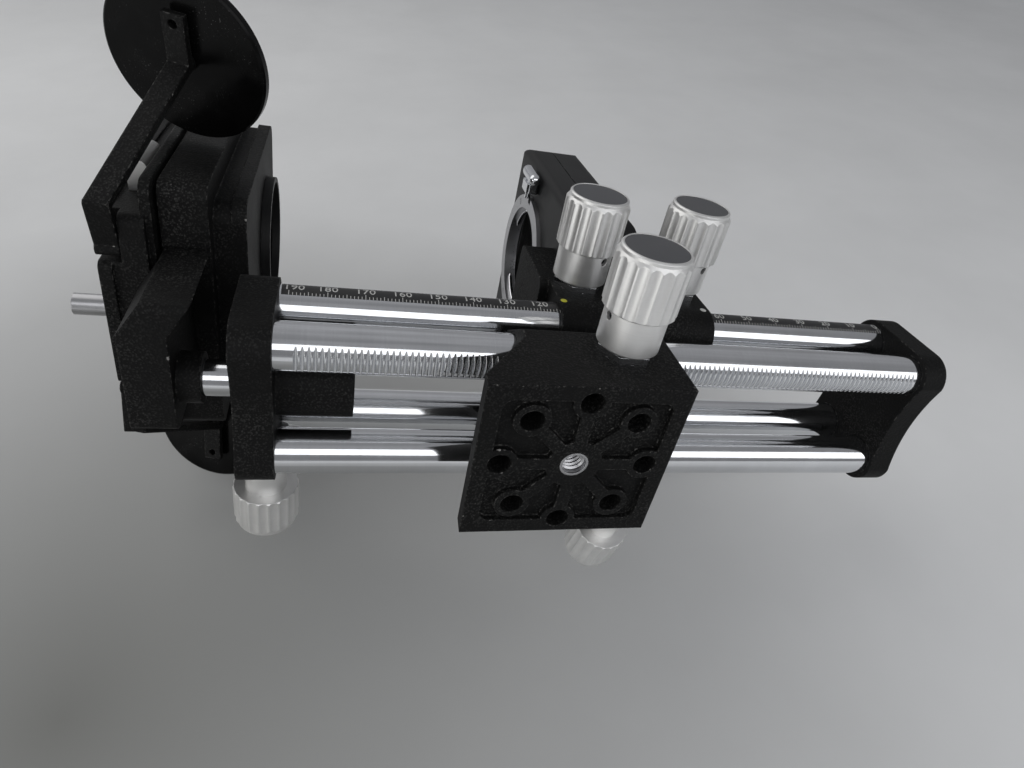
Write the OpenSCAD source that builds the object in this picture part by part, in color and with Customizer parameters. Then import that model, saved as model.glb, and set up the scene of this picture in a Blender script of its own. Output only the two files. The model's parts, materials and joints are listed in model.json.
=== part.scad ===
// Macro bellows with a slide copier on a four-rod rail.
// Millimetres, +Z up. The origin is the mouth of the tripod thread, in the underside of the foot.
// +X runs along the rail, from the copier to the free end. The drive knobs point to -Y.

/* [Rail] */
// Diameter of the four rods
rod_d = 13; // [12:0.1:13.4]
// Distance between the rods across the rail
rod_span = 34.5; // [33.5:0.1:36]
// Height of the lower pair of rods above the underside of the foot
low_z = 28.8; // [28.4:0.1:29.6]
// Height of the upper pair of rods above the lower pair
rod_rise = 19.1; // [18.9:0.1:20]
// Offset of the middle of the rail from the tripod thread
rail_y = 4.2; // [3.8:0.1:4.6]
// Free length of the rods between the end plates
rail_len = 194; // [190:1:220]
// Inner face of the left end plate
rail_x0 = -74.7; // [-80:0.1:-74]
// Thickness of the left end plate
left_t = 9.9; // [9:0.1:12]
// Thickness of the right end plate
right_t = 8; // [7:0.1:12]
// Radius of the end plates around the rods
plate_r = 8.2; // [8:0.1:9]
// Radius of the boss that guides the copier rod
boss_r = 9.75; // [8:0.05:10]
// Length of that boss
boss_len = 20.3; // [16:0.1:22]

/* [Rack and pinion] */
// Module of the rack and the pinions
gear_m = 0.5; // [0.5:0.01:0.52]
// Teeth on each pinion
pinion_n = 24; // [24:1:25]
// Width of each pinion
pinion_w = 8; // [6:0.5:8]
// Diameter of the pinion shafts
shaft_d = 5; // [4:0.1:5.4]

/* [Foot] */
// Length of the foot
foot_l = 53; // [52:0.5:56]
// Height of the foot above the axes of the lower rods
foot_over = 9; // [8.6:0.1:9.2]
// Place of the drive knob along the foot
foot_knob_x = 12.5; // [11:0.1:14]
// Wall of the tripod bush
bush_wall = 0.6; // [0.5:0.1:1.2]
// Diameter of the tripod thread
thread_d = 6.35; // [6.35, 9.525]
// Radius of the circle of holes in the underside
hole_circle = 19.7; // [19:0.1:20]
// Diameter of those holes
hole_d = 6.2; // [5:0.1:6.4]

/* [Knobs] */
// Diameter of the fluted grip of a drive knob
knob_d = 19.2; // [18.4:0.1:19.4]
// Length of the fluted grip
knob_len = 16; // [13:0.5:18]
// Diameter of the collar under the grip
collar_d = 16.5; // [15:0.1:17]
// Length of the collar
collar_len = 10.6; // [9:0.1:12]
// Number of flutes
flutes = 20; // [16:1:24]
// Diameter of the cap let into the grip
cap_d = 16; // [14:0.1:16]
// Diameter of the grip of the lock knobs on the standards
small_knob_d = 13; // [11:0.5:13.5]
// Diameter of the screw of the lock knobs
lock_screw_d = 4; // [3.6:0.1:4]

/* [Standards] */
// Height of the optical axis
axis_z = 119; // [118:0.5:122]
// Half width of the two standard plates
plate_half = 37.5; // [36:0.5:40]
// Height of the top edge above the optical axis
plate_top = 29; // [29:0.5:33]
// Front face of the front standard plate
front_x = 11.2; // [11.2:0.1:11.6]
// Thickness of the front plate
front_t = 9.7; // [9.4:0.1:9.7]
// Thickness of the rear plate
rear_t = 11.5; // [11:0.1:13]
// Outer radius of the lens mount
lens_r = 25.4; // [24.5:0.1:26]
// Inner radius of the lens mount
lens_bore_r = 20.5; // [19:0.1:21.5]
// Inner radius of the camera mount
camera_bore_r = 22; // [21:0.1:22.2]
// Number of bellows folds
folds = 6; // [4:1:8]

/* [Copier] */
// Diameter of the copier rod
copier_rod_d = 10; // [9:0.1:10.4]
// Half width of the copier body
copier_half = 39.5; // [38:0.5:40]
// Half width of the picture window
window_half = 17.5; // [16:0.5:18]
// Inner radius of the copier's front ring
ring_bore_r = 20; // [19:0.1:20.4]
// Width of the slot that takes the film
film_slot = 1; // [0.8:0.1:1.4]
// Radius of the film tray discs
disc_r = 22; // [18:0.5:22.5]

/* [Fits] */
// Radial clearance where a piece turns or slides
run = 0.05; // [0.03:0.01:0.08]
// Radial clearance where a piece is fixed in another
press = 0.02; // [0.01:0.01:0.04]

/* [Hidden] */
$fn = 64;
rod_r = rod_d / 2;
near_y = rail_y - rod_span / 2;
far_y = rail_y + rod_span / 2;
high_z = low_z + rod_rise;
mid_z = low_z + rod_rise / 2;
rail_x1 = rail_x0 + rail_len;
left_x = rail_x0 - left_t;
rod_in = 5.5;
side_sag = 2.3;
top_sag = 1.2;
sag_half = rod_span / 2;

pitch = PI * gear_m;
pinion_r = gear_m * pinion_n / 2;
tooth_rise = 0.9 * gear_m;
pinion_tip = pinion_r + tooth_rise;
front_pinion_n = pinion_n - 5;
rack_in = gear_m;
rack_root = 1.125;
pinion_off = rod_r - rack_in + pinion_r;
gear_cavity = pinion_tip + 0.35;
shaft_r = shaft_d / 2;
end_y = near_y + pinion_w / 2 + 4;
tooth_gap = 0.12;
flank = tan(20);

foot_h = low_z + foot_over;
foot_face = -24.5;
foot_y0 = foot_face;
foot_w = 48.9;
bush_d = thread_d + 2 * bush_wall;
foot_pinion_z = low_z - pinion_off;
foot_wrap_x = -13.2;
foot_lock_x = 21.5;
foot_lock_y = 36;
foot_lock_z = 12;
foot_lock_tilt = 17;
foot_lock_screw_r = 1.5;
brake_y = 18.2;
brake_r = 2;
brake_z0 = 8.9;
channel_half = copier_rod_d / 2 + 1.3;
channel_z = mid_z - copier_rod_d / 2 - 1.3;

nut_h = 2;
nut_r = 7.8;
nut_gap = 0.4;
barrel_r = gear_cavity - press;
cap_t = 0.8;
grip_r = knob_d / 2;
flute_r = 2.6;
flute_in = 0.42;
rim_h = 1.2;
rim_in = 0.8;
set_screw_r = 1.15;
set_screw_in = 1.9;
knob_gap = 0.4;
knob_base = nut_h + nut_gap;
knob_total = knob_base + collar_len + knob_len;

carriage_top = 68;
carriage_x0 = 3.8;
carriage_face = near_y - plate_r;
far_face = far_y + plate_r;
stand_pinion_z = high_z + pinion_off;
front_knob_x = 12.6;
knob_teeth_apart = 21;
rear_knob_x = front_knob_x + knob_teeth_apart * pitch;
front_back = front_x + front_t;
rear_x = front_back + 0.4;
rear_back = rear_x + rear_t;
front_end = front_back - 0.3;
rear_x0 = rear_x - 0.1;
rear_end = 53.6;
plate_z1 = axis_z + plate_top;
plate_corner = 9;
plate_edge = 3;
front_wall = 3;
rear_wall = 4;
recess_y = 30;
recess_z = 26.5;
frame_t = 1;
frame_y = 29;
frame_z = 25.5;
throat_y = 22.5;
throat_z = 22.2;
fold_y = 28.5;
fold_z = 25;
fold_depth = 3.4;
skin = 0.9;
bellows_gap = 0.2;
bellows_x0 = front_x + front_wall + frame_t + bellows_gap;
bellows_x1 = rear_back - rear_wall - frame_t - bellows_gap;
lens_x = 9.5;
spigot_r = lens_bore_r + 2.5;
mount_x = rear_back + 3.2;
mount_r = 27;
journal_r = camera_bore_r + 2;
saddle_x0 = 1;
saddle_z0 = 60;
saddle_z1 = 87.5;
saddle_edge = 3;
front_lock_x = 13.4;
rear_lock_x = 45.8;
clamp_x = rail_x0 - 3.9;
lock_boss_r = 5.5;
lock_boss_len = 3;
lock_nose = 0.1;
release_x = 8.4;
release_in = 3.2;
release_y = release_in - plate_half;
stem_r = 1.1;

body_x0 = -105.2;
body_x1 = -93.2;
front_plate_x0 = -88.5;
front_plate_x1 = -84.5;
ring_x1 = -81.6;
ring_r = 21.7;
neck_half = 32.5;
front_half = 33.5;
body_z0 = 60.6;
body_r = 4;
body_z1 = 146.5;
ridge_x0 = -108.7;
ridge_x1 = body_x0 - film_slot;
ridge_half = 40.4;
ridge_z0 = 57.6;
ridge_z1 = 147;
box_x0 = -116.3;
box_half = 32;
box_z0 = 55.4;
box_z1 = 140;
rim_x0 = -119.6;
rim_half = 33;
rim_z0 = 64;
tab_z0 = 54.4;
rim_z1 = 146;
opal_t = 2;
opal_half = window_half + 3.5;
opal_x0 = -118.6;
low_pin_y = -2.8;
low_pin_z = 61;
low_pin_r = 3;
high_pin_z = 142.9;
high_pin_r = 2.5;
low_pin_x = -129;
low_pin_end = body_x0 + 4.2;
high_pin_x = -128.4;
catch_reach = 6;
catch_z = 73;
catch_h = 17;
bracket_x0 = -110.2;
bracket_y0 = -22.5;
bracket_y1 = 15.5;
bracket_z0 = 29;
bracket_z1 = body_z0;
bracket_arm = 11.2;
rod_boss_r = 7;
hinge_x = -117;
hinge_y = 22.3;
hinge_z = 57.2;
hinge_wall = -113.9;
hinge_end = -109.4;
knuckle_r = 1.9;
strap_w = 5.8;
strap_t = 2.2;
hinge_pin_r = 1;
strap_first = 13.5;
strap_rise = 46;
strap_drop = 14.4;
strap_lean_y = 22.4;
strap_lean_x = 20.5;
disc_tilt = 18.4;
strap_last = 13.3;
disc_t = 2.5;
disc_seat = 1.4;

black = [0.05, 0.05, 0.055];
chrome = [0.8, 0.8, 0.82];
alloy = [0.7, 0.7, 0.7];
steel = [0.6, 0.6, 0.62];
cap_grey = [0.2, 0.2, 0.21];

// Round bar along X
module bar_x(x0, x1, y, z, r) {
  translate([x0, y, z]) rotate([0, 90, 0]) cylinder(h = x1 - x0, r = r);
}

// Round bar along Y
module bar_y(x, y0, y1, z, r) {
  translate([x, y0, z]) rotate([-90, 0, 0]) cylinder(h = y1 - y0, r = r);
}

// An outline in Y and Z, made solid along X
module slab_x(x0, x1) {
  translate([x0, 0, 0]) rotate([90, 0, 90]) linear_extrude(x1 - x0) children();
}

// An outline in X and Z, made solid along Y
module slab_y(y0, y1) {
  translate([0, y1, 0]) rotate([90, 0, 0]) linear_extrude(y1 - y0) children();
}

// Rectangle between two corners with round corners
module round_rect(y0, y1, z0, z1, r) {
  translate([y0 + r, z0]) square([y1 - y0 - 2 * r, z1 - z0]);
  translate([y0, z0 + r]) square([y1 - y0, z1 - z0 - 2 * r]);
  for (y = [y0 + r, y1 - r], z = [z0 + r, z1 - r]) translate([y, z]) circle(r);
}

// Puts a shape that points up onto the drive side, pointing to -Y
module on_drive_side(x, y, z) {
  translate([x, y, z]) rotate([90, 0, 0]) children();
}

// Puts a shape that points up onto the far side, pointing to +Y
module on_far_side(x, y, z) {
  translate([x, y, z]) rotate([-90, 0, 0]) children();
}

// Row of gaps between rack teeth, as an outline along X with the gaps pointing up from zero
module rack_gaps(x_mesh, x0, x1) {
  first = ceil((x0 - x_mesh) / pitch);
  last = floor((x1 - x_mesh) / pitch);
  below = 0.3;
  half = pitch / 4 + rack_in * flank;
  wide = half + below * flank;
  narrow = half - rack_root * flank;
  polygon(concat(
    [[x_mesh + first * pitch - pitch, -2]],
    [for (i = [first:last], p = [[-wide, -below], [-narrow, rack_root], [narrow, rack_root],
      [wide, -below]]) [x_mesh + i * pitch + p[0], p[1]]],
    [[x_mesh + last * pitch + pitch, -2]]));
}

// Toothed wheel with one tooth pointing to +Y of its own plane
module pinion_outline(teeth) {
  r = gear_m * teeth / 2;
  tip_r = r + tooth_rise;
  root_r = r - 1.2 * gear_m;
  half_pitch = (pitch / 2 - tooth_gap) / (2 * r) * 180 / PI;
  half_root = half_pitch + (flank - 20 * PI / 180) * 180 / PI;
  tip_a = acos(r * cos(20) / tip_r);
  half_tip = half_root - (tan(tip_a) - tip_a * PI / 180) * 180 / PI;
  polygon([for (i = [0:teeth - 1], p = [[root_r, -half_root], [r, -half_pitch],
    [tip_r, -half_tip], [tip_r, half_tip], [r, half_pitch], [root_r, half_root]])
    let (a = 90 + i * 360 / teeth + p[1]) p[0] * [cos(a), sin(a)]]);
}

// Fluted grip, standing on zero
module grip(r, len) {
  difference() {
    rotate_extrude() polygon([[0, 0], [r - 0.4, 0], [r, 0.4], [r, len - 2 * rim_h],
      [r - rim_in, len - rim_h], [r - rim_in, len - 0.4], [r - rim_in - 0.4, len], [0, len]]);
    for (i = [0:flutes - 1]) rotate(i * 360 / flutes)
      translate([r + flute_r - flute_in, 0, -1]) cylinder(h = len + 1 - rim_h, r = flute_r);
  }
}

// Drive knob: collar with its set screw hole, fluted grip and the seat for the cap
module drive_knob(screw_turn) {
  difference() {
    union() {
      translate([0, 0, knob_base]) rotate_extrude() polygon([[0, 0], [collar_d / 2 - 0.5, 0],
        [collar_d / 2, 0.5], [collar_d / 2, collar_len], [0, collar_len]]);
      translate([0, 0, knob_base + collar_len]) grip(grip_r, knob_len);
    }
    translate([0, 0, knob_base - 1]) cylinder(h = 2.2, r = nut_r - 0.8);
    translate([0, 0, -1]) cylinder(h = knob_total - 4, r = shaft_r + press);
    translate([0, 0, knob_total - cap_t]) cylinder(h = cap_t + 1, r = cap_d / 2 + press);
    translate([0, 0, knob_base + collar_len - set_screw_in]) rotate([90, 0, screw_turn])
      cylinder(h = collar_d, r = set_screw_r);
  }
}

// Cap of a drive knob, a little below the rim
module knob_cap() {
  translate([0, 0, knob_total - cap_t]) cylinder(h = cap_t - 0.15, r = cap_d / 2);
}

// Hexagon bush that closes the pinion's bore and carries its shaft
module bearing_nut(face) {
  depth = near_y - pinion_w / 2 - 0.3 - face;
  difference() {
    union() {
      cylinder(h = nut_h, r = nut_r, $fn = 6);
      translate([0, 0, -depth]) cylinder(h = depth, r = barrel_r);
    }
    translate([0, 0, -depth - 1]) cylinder(h = depth + nut_h + 2, r = shaft_r + run);
  }
}

// Pinion and its shaft, from the end bearing to the knob
module pinion_shaft(face, teeth, turn) {
  depth = end_y - face - 0.4;
  translate([0, 0, -depth]) cylinder(h = depth + knob_total - 5.2, r = shaft_r);
  translate([0, 0, face - near_y - pinion_w / 2]) rotate(turn)
    linear_extrude(pinion_w) pinion_outline(teeth);
}

// Bore for a pinion, its bush and the end of its shaft
module pinion_bore(face) {
  far = near_y + pinion_w / 2 + 0.4;
  translate([0, 0, face - far]) cylinder(h = far - face + 1, r = gear_cavity);
  translate([0, 0, face - end_y]) cylinder(h = end_y - face, r = shaft_r + run);
}

// Small lock knob, from its screw's shoulder outwards
module lock_knob(r, len, neck_r, neck_len, screw_r) {
  difference() {
    union() {
      cylinder(h = neck_len, r = neck_r);
      translate([0, 0, neck_len]) grip(r, len);
    }
    translate([0, 0, -1]) cylinder(h = neck_len + len - 2, r = screw_r + press);
    translate([0, 0, neck_len + len - 0.6]) cylinder(h = 2, r = r - 1.6);
  }
}

// Outline of an end plate around the four rods
module end_outline() {
  low_r = (sag_half * sag_half + side_sag * side_sag) / (2 * side_sag);
  high_r = (sag_half * sag_half + top_sag * top_sag) / (2 * top_sag);
  difference() {
    union() {
      for (y = [near_y, far_y], z = [low_z, high_z]) translate([y, z]) circle(plate_r);
      translate([near_y - plate_r, low_z]) square([rod_span + 2 * plate_r, rod_rise]);
      translate([near_y, low_z - plate_r]) square([rod_span, rod_rise + 2 * plate_r]);
    }
    translate([rail_y, low_z - plate_r + side_sag - low_r]) circle(low_r, $fn = 128);
    translate([rail_y, high_z + plate_r - top_sag + high_r]) circle(high_r, $fn = 128);
  }
}

// Countersunk screw along X, with its head at zero and its shank to +X
module plate_screw(len, grow) {
  head_h = 2;
  rotate([0, 90, 0]) {
    cylinder(h = head_h, r1 = 3.6 + grow, r2 = 2 + grow);
    cylinder(h = len, r = 2 + grow);
  }
}

// Slot across a screw head
module screw_slot() {
  translate([-1, -4, -0.4]) cube([1.9, 8, 0.8]);
}

// Places a child at each rod, on the left plate and turned round on the right plate
module at_rod_ends() {
  for (y = [near_y, far_y], z = [low_z, high_z]) {
    translate([left_x, y, z]) children();
    translate([rail_x1 + right_t, y, z]) rotate([0, 0, 180]) children();
  }
}

// Rod with its ends let into the plates and drilled for the plate screws
module rod(y, z) {
  difference() {
    bar_x(rail_x0 - rod_in, rail_x1 + rod_in, y, z, rod_r);
    at_rod_ends() plate_screw(14, press);
  }
}

// Band of the upper rod that carries the scale, between two radii
module scale_band(r0, r1) {
  middle = 182;
  half = 25;
  reach = 3 * rod_r;
  intersection() {
    difference() {
      bar_x(rail_x0 + 0.6, rail_x1 - 0.6, near_y, high_z, r1);
      bar_x(rail_x0, rail_x1, near_y, high_z, r0);
    }
    translate([0, near_y, high_z]) slab_x(rail_x0, rail_x1) polygon([[0, 0],
      for (a = [-half, 0, half]) reach * [cos(middle + a), sin(middle + a)]]);
  }
}

module foot_block() {
  rim = 4.4;
  pocket = 1.8;
  pocket_r = 3;
  hub_r = 7.4;
  rib = 3.6;
  boss_wall = 1.7;
  holes = 8;
  hole_deep = 9;
  half_l = foot_l / 2;
  color(black) difference() {
    intersection() {
      slab_x(-half_l, half_l) polygon([[foot_y0, 0], [foot_y0 + foot_w, 0], [20.4, 14], [24, 18.5], [31, 20],
        [31, foot_h - 3.8], [27.5, foot_h], [-16.2, foot_h], [foot_face, 24.9]]);
      slab_y(-40, 40) polygon([[-half_l, 0], [half_l, 0], [half_l, foot_h],
        [foot_wrap_x, foot_h], [foot_wrap_x, 21.5], [-half_l, 4]]);
    }
    for (y = [near_y, far_y]) bar_x(-40, 40, y, low_z, rod_r + run);
    translate([-40, rail_y - channel_half, channel_z]) cube([80, 2 * channel_half, 20]);
    on_drive_side(foot_knob_x, foot_face, foot_pinion_z) pinion_bore(foot_face);
    translate([0, 0, -1]) cylinder(h = 12, r = bush_d / 2 + press);
    for (i = [0:holes - 1]) rotate(i * 360 / holes) translate([hole_circle, 0, -1])
      cylinder(h = hole_deep + 1, r = hole_d / 2);
    difference() {
      translate([0, 0, -1]) linear_extrude(pocket + 1)
        round_rect(rim - half_l, half_l - rim, foot_y0 + rim, foot_y0 + foot_w - rim, pocket_r);
      translate([0, 0, -2]) cylinder(h = 8, r = hub_r);
      for (i = [0:holes - 1]) rotate(i * 360 / holes) {
        translate([hole_circle, 0, -2]) cylinder(h = 8, r = hole_d / 2 + boss_wall);
        translate([0, -rib / 2, -2]) cube([hole_circle, rib, 8]);
      }
    }
    translate([foot_lock_x, brake_y, 0]) translate([0, 0, 3.4])
      cylinder(h = low_z - 3.4, r = brake_r + run);
    translate([foot_lock_x, foot_lock_y, foot_lock_z]) rotate([foot_lock_tilt - 90, 0, 0])
      translate([0, 0, -22]) cylinder(h = 30, r = foot_lock_screw_r + press);
  }
}

module tripod_bush() {
  color(steel) difference() {
    cylinder(h = 10.8, r = bush_d / 2);
    translate([0, 0, -1]) cylinder(h = 14, r = thread_d / 2);
  }
}

module foot_bearing_nut() {
  color(chrome) on_drive_side(foot_knob_x, foot_face, foot_pinion_z) bearing_nut(foot_face);
}

module foot_brake_pin() {
  // The pin stands on the lock screw's tip and ends just under the rod
  top = low_z - sqrt(rod_r * rod_r - pow(far_y - brake_y - brake_r, 2)) - 0.5;
  color(steel) translate([foot_lock_x, brake_y, brake_z0]) cylinder(h = top - brake_z0, r = brake_r);
}

module foot_drive_knob() {
  color(alloy) on_drive_side(foot_knob_x, foot_face, foot_pinion_z) drive_knob(-78);
}

module foot_knob_cap() {
  color(cap_grey) on_drive_side(foot_knob_x, foot_face, foot_pinion_z) knob_cap();
}

module foot_pinion_shaft() {
  color(steel) on_drive_side(foot_knob_x, foot_face, foot_pinion_z)
    pinion_shaft(foot_face, pinion_n, 0);
}

module foot_lock_knob() {
  color(alloy) translate([foot_lock_x, foot_lock_y, foot_lock_z])
    rotate([foot_lock_tilt - 90, 0, 0]) translate([0, 0, -9])
      lock_knob(8.2, 15, 4.5, 9, foot_lock_screw_r);
}

module foot_lock_screw() {
  color(steel) translate([foot_lock_x, foot_lock_y, foot_lock_z])
    rotate([foot_lock_tilt - 90, 0, 0]) {
      translate([0, 0, -19]) cylinder(h = 30, r = foot_lock_screw_r);
      translate([0, 0, -20.5]) cylinder(h = 1.5, r1 = 0.3, r2 = foot_lock_screw_r);
    }
}

module rod_scale() {
  color(chrome) difference() {
    rod(near_y, high_z);
    scale_band(rod_r - 0.3, rod_r + 1);
    slab_y(near_y - 10, near_y + 10) translate([0, high_z + rod_r]) mirror([0, 1])
      rack_gaps(front_knob_x, rail_x0 + 4, rail_x1 - 4);
  }
}

module rod_rack() {
  color(chrome) difference() {
    rod(near_y, low_z);
    slab_y(near_y - 10, near_y + 10) translate([0, low_z - rod_r])
      rack_gaps(foot_knob_x, rail_x0 + 5.5, rail_x1 - 3);
  }
}

module rod_low_far() {
  color(chrome) rod(far_y, low_z);
}

module rod_high_far() {
  color(chrome) rod(far_y, high_z);
}

module scale_strip() {
  color(black) scale_band(rod_r - 0.3 + press, rod_r - press);
}

module left_end_plate() {
  color(black) difference() {
    union() {
      slab_x(left_x, rail_x0) end_outline();
      bar_x(rail_x0 - 1, rail_x0 + boss_len, rail_y, mid_z, boss_r);
    }
    for (y = [near_y, far_y], z = [low_z, high_z])
      bar_x(rail_x0 - rod_in, rail_x0 + 1, y, z, rod_r + press);
    bar_x(left_x - 1, rail_x0 + boss_len + 1, rail_y, mid_z, copier_rod_d / 2 + run);
    bar_y(clamp_x, rail_y, far_face + 1, mid_z, lock_screw_d / 2 + press);
    at_rod_ends() plate_screw(14, press);
  }
}

module right_end_plate() {
  color(black) difference() {
    slab_x(rail_x1, rail_x1 + right_t) end_outline();
    for (y = [near_y, far_y], z = [low_z, high_z])
      bar_x(rail_x1 - 1, rail_x1 + rod_in, y, z, rod_r + press);
    at_rod_ends() plate_screw(14, press);
  }
}

module end_plate_screws() {
  color(steel) at_rod_ends() difference() {
    plate_screw(12, 0);
    screw_slot();
  }
}

module clamp_knob() {
  color(alloy) on_far_side(clamp_x, far_face, mid_z) translate([0, 0, 0.4])
    lock_knob(grip_r, 14.4, 6, 13.2, lock_screw_d / 2);
}

module clamp_screw() {
  depth = far_face - rail_y - copier_rod_d / 2 - 0.3;
  color(steel) on_far_side(clamp_x, far_face, mid_z)
    translate([0, 0, -depth]) cylinder(h = depth + 24, r = lock_screw_d / 2);
}

// Section of a carriage that rides on the two upper rods
module carriage_outline() {
  open_z = mid_z + boss_r + 2.4;
  shoulder = 1;
  for (y = [near_y, far_y]) translate([y, high_z]) circle(plate_r);
  polygon([[carriage_face, high_z], [carriage_face, carriage_top - shoulder],
    [carriage_face + shoulder, carriage_top], [far_face - shoulder, carriage_top],
    [far_face, carriage_top - shoulder], [far_face, high_z], [far_y, high_z],
    [far_y - plate_r + 1, open_z], [near_y + plate_r - 1, open_z], [near_y, high_z]]);
}

// Carriage block with its rod bores, pinion bore and lock screw boss
module carriage(x0, x1, knob_x, lock_x) {
  difference() {
    union() {
      slab_x(x0, x1) carriage_outline();
      bar_y(lock_x, far_y + 3, far_face + lock_boss_len, high_z, lock_boss_r);
      children();
    }
    for (y = [near_y, far_y]) bar_x(x0 - 5, x1 + 5, y, high_z, rod_r + run);
    on_drive_side(knob_x, carriage_face, stand_pinion_z) pinion_bore(carriage_face);
    bar_y(lock_x, far_y, far_face + lock_boss_len + 1, high_z, lock_screw_d / 2 + press);
  }
}

module rear_carriage() {
  corner = 5;
  rib_t = 5;
  rib_h = 14;
  rib_l = 12;
  rib_in = 0.25;
  rib_y = -carriage_face - rib_t / 2 - rib_in;
  color(black) difference() {
    carriage(rear_x0, rear_end, rear_knob_x, rear_lock_x) for (y = [-rib_y, rib_y])
      slab_y(y - rib_t / 2, y + rib_t / 2) polygon([[rear_back, carriage_top - 1],
        [rear_back + rib_l, carriage_top - 1], [rear_back + rib_l, carriage_top],
        [rear_back, carriage_top + rib_h]]);
    slab_y(-50, 60) polygon([[rear_end + 1, carriage_top + 1], [rear_end - corner, carriage_top + 1],
      [rear_end - corner + 1, carriage_top], [rear_end, carriage_top - corner],
      [rear_end + 1, carriage_top - corner]]);
  }
}

// Blank of a standard's plate, its outer face with round edges at the sides and the top
module plate_blank(face, back) {
  x0 = min(face, back);
  t = abs(back - face);
  edge_x = back > face ? face + plate_edge : face - plate_edge;
  inner_x = min(edge_x, back);
  tall = plate_z1 - carriage_top + 1;
  intersection() {
    slab_x(x0, x0 + t) round_rect(-plate_half, plate_half, carriage_top, plate_z1, plate_corner);
    translate([0, 0, carriage_top - 1]) linear_extrude(tall + 1) {
      translate([inner_x, -plate_half]) square([t - plate_edge, 2 * plate_half]);
      translate([x0, plate_edge - plate_half]) square([t, 2 * (plate_half - plate_edge)]);
      for (side = [-1, 1]) translate([edge_x, side * (plate_half - plate_edge)])
        circle(plate_edge);
    }
    slab_y(-plate_half - 1, plate_half + 1) {
      translate([inner_x, carriage_top - 1]) square([t - plate_edge, tall]);
      translate([x0, carriage_top - 1]) square([t, tall - plate_edge]);
      translate([edge_x, plate_z1 - plate_edge]) circle(plate_edge);
    }
  }
}

module rear_plate() {
  color(black) difference() {
    plate_blank(rear_back, rear_x);
    translate([rear_x - 1, -recess_y, axis_z - recess_z])
      cube([rear_t - rear_wall + 1, 2 * recess_y, 2 * recess_z]);
    bar_x(rear_x, rear_back + 1, 0, axis_z, journal_r + run);
  }
}

module rear_bearing_nut() {
  color(chrome) on_drive_side(rear_knob_x, carriage_face, stand_pinion_z)
    bearing_nut(carriage_face);
}

// Flat frame that holds one end of the bellows
module bellows_frame(x0) {
  difference() {
    translate([x0, -frame_y, axis_z - frame_z]) cube([frame_t, 2 * frame_y, 2 * frame_z]);
    translate([x0 - 1, -throat_y, axis_z - throat_z])
      cube([frame_t + 2, 2 * throat_y, 2 * throat_z]);
  }
}

module bellows_rear_frame() {
  color(black) bellows_frame(rear_back - rear_wall - frame_t);
}

module camera_mount_ring() {
  lug_h = 1.2;
  color(chrome) difference() {
    union() {
      bar_x(rear_back + 0.3, mount_x, 0, axis_z, mount_r);
      bar_x(rear_back - rear_wall + 0.2, mount_x, 0, axis_z, journal_r);
    }
    bar_x(rear_x, mount_x + 1, 0, axis_z, camera_bore_r);
    for (a = [90:120:330]) translate([mount_x - lug_h, 0, axis_z]) rotate([a, 0, 0])
      translate([0, camera_bore_r + 2.5, 0]) rotate([0, 90, 0]) cylinder(h = 5, r = 1.2);
  }
}

module rear_drive_knob() {
  color(alloy) on_drive_side(rear_knob_x, carriage_face, stand_pinion_z) drive_knob(27);
}

module rear_knob_cap() {
  color(cap_grey) on_drive_side(rear_knob_x, carriage_face, stand_pinion_z) knob_cap();
}

module rear_pinion_shaft() {
  color(steel) on_drive_side(rear_knob_x, carriage_face, stand_pinion_z)
    pinion_shaft(carriage_face, pinion_n, 180);
}

// Lock knob of a standard, just off its boss
module stand_lock_knob(x) {
  on_far_side(x, far_face + lock_boss_len + 0.4, high_z)
    lock_knob(small_knob_d / 2, 11, 4.5, 3, lock_screw_d / 2);
}

// Screw of a standard's lock, from the rod's side to the knob
module stand_lock_screw(x) {
  bar_y(x, far_y + rod_r + lock_nose + 0.2, far_face + lock_boss_len + 11, high_z,
    lock_screw_d / 2);
}

module rear_lock_knob() {
  color(alloy) stand_lock_knob(rear_lock_x);
}

module rear_lock_screw() {
  color(steel) stand_lock_screw(rear_lock_x);
}

module front_carriage() {
  color(black) carriage(carriage_x0, front_end, front_knob_x, front_lock_x)
    slab_x(saddle_x0, front_x)
      round_rect(carriage_face, far_face, saddle_z0, saddle_z1, saddle_edge);
}

module front_plate() {
  color(black) difference() {
    plate_blank(front_x, front_back);
    translate([front_x + front_wall, -recess_y, axis_z - recess_z])
      cube([front_t, 2 * recess_y, 2 * recess_z]);
    bar_x(front_x - 1, front_back, 0, axis_z, spigot_r + press);
    on_drive_side(front_knob_x, carriage_face, stand_pinion_z)
      cylinder(h = knob_total, r = collar_d / 2 + knob_gap);
  }
}

module lens_mount_ring() {
  notch = 3;
  color(chrome) difference() {
    union() {
      bar_x(lens_x, front_x, 0, axis_z, lens_r);
      bar_x(front_x - 0.5, front_x + front_wall, 0, axis_z, spigot_r);
    }
    bar_x(lens_x - 1, front_x + front_wall + 1, 0, axis_z, lens_bore_r);
    for (a = [30:120:270]) translate([lens_x - 1, 0, axis_z]) rotate([a, 0, 0])
      translate([0, lens_bore_r + 2.5, 0]) rotate([0, 90, 0]) cylinder(h = 2, r = 1.1);
    translate([lens_x - 1, -lens_r - 1, axis_z - notch / 2])
      cube([front_x - lens_x + 1, 3, notch]);
  }
}

module front_bearing_nut() {
  color(chrome) on_drive_side(front_knob_x, carriage_face, stand_pinion_z)
    bearing_nut(carriage_face);
}

module bellows_front_frame() {
  color(black) bellows_frame(front_x + front_wall);
}

module release_bracket() {
  half = 4.2;
  y0 = -32;
  y1 = -28.6;
  color(chrome) difference() {
    slab_y(y0, y1) round_rect(6.4, front_x, axis_z - half, axis_z + half, 1.6);
    bar_y(release_x, y0 - 1, y1 + 1, axis_z, stem_r + run);
  }
}

module front_drive_knob() {
  color(alloy) on_drive_side(front_knob_x, carriage_face, stand_pinion_z) drive_knob(27);
}

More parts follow.
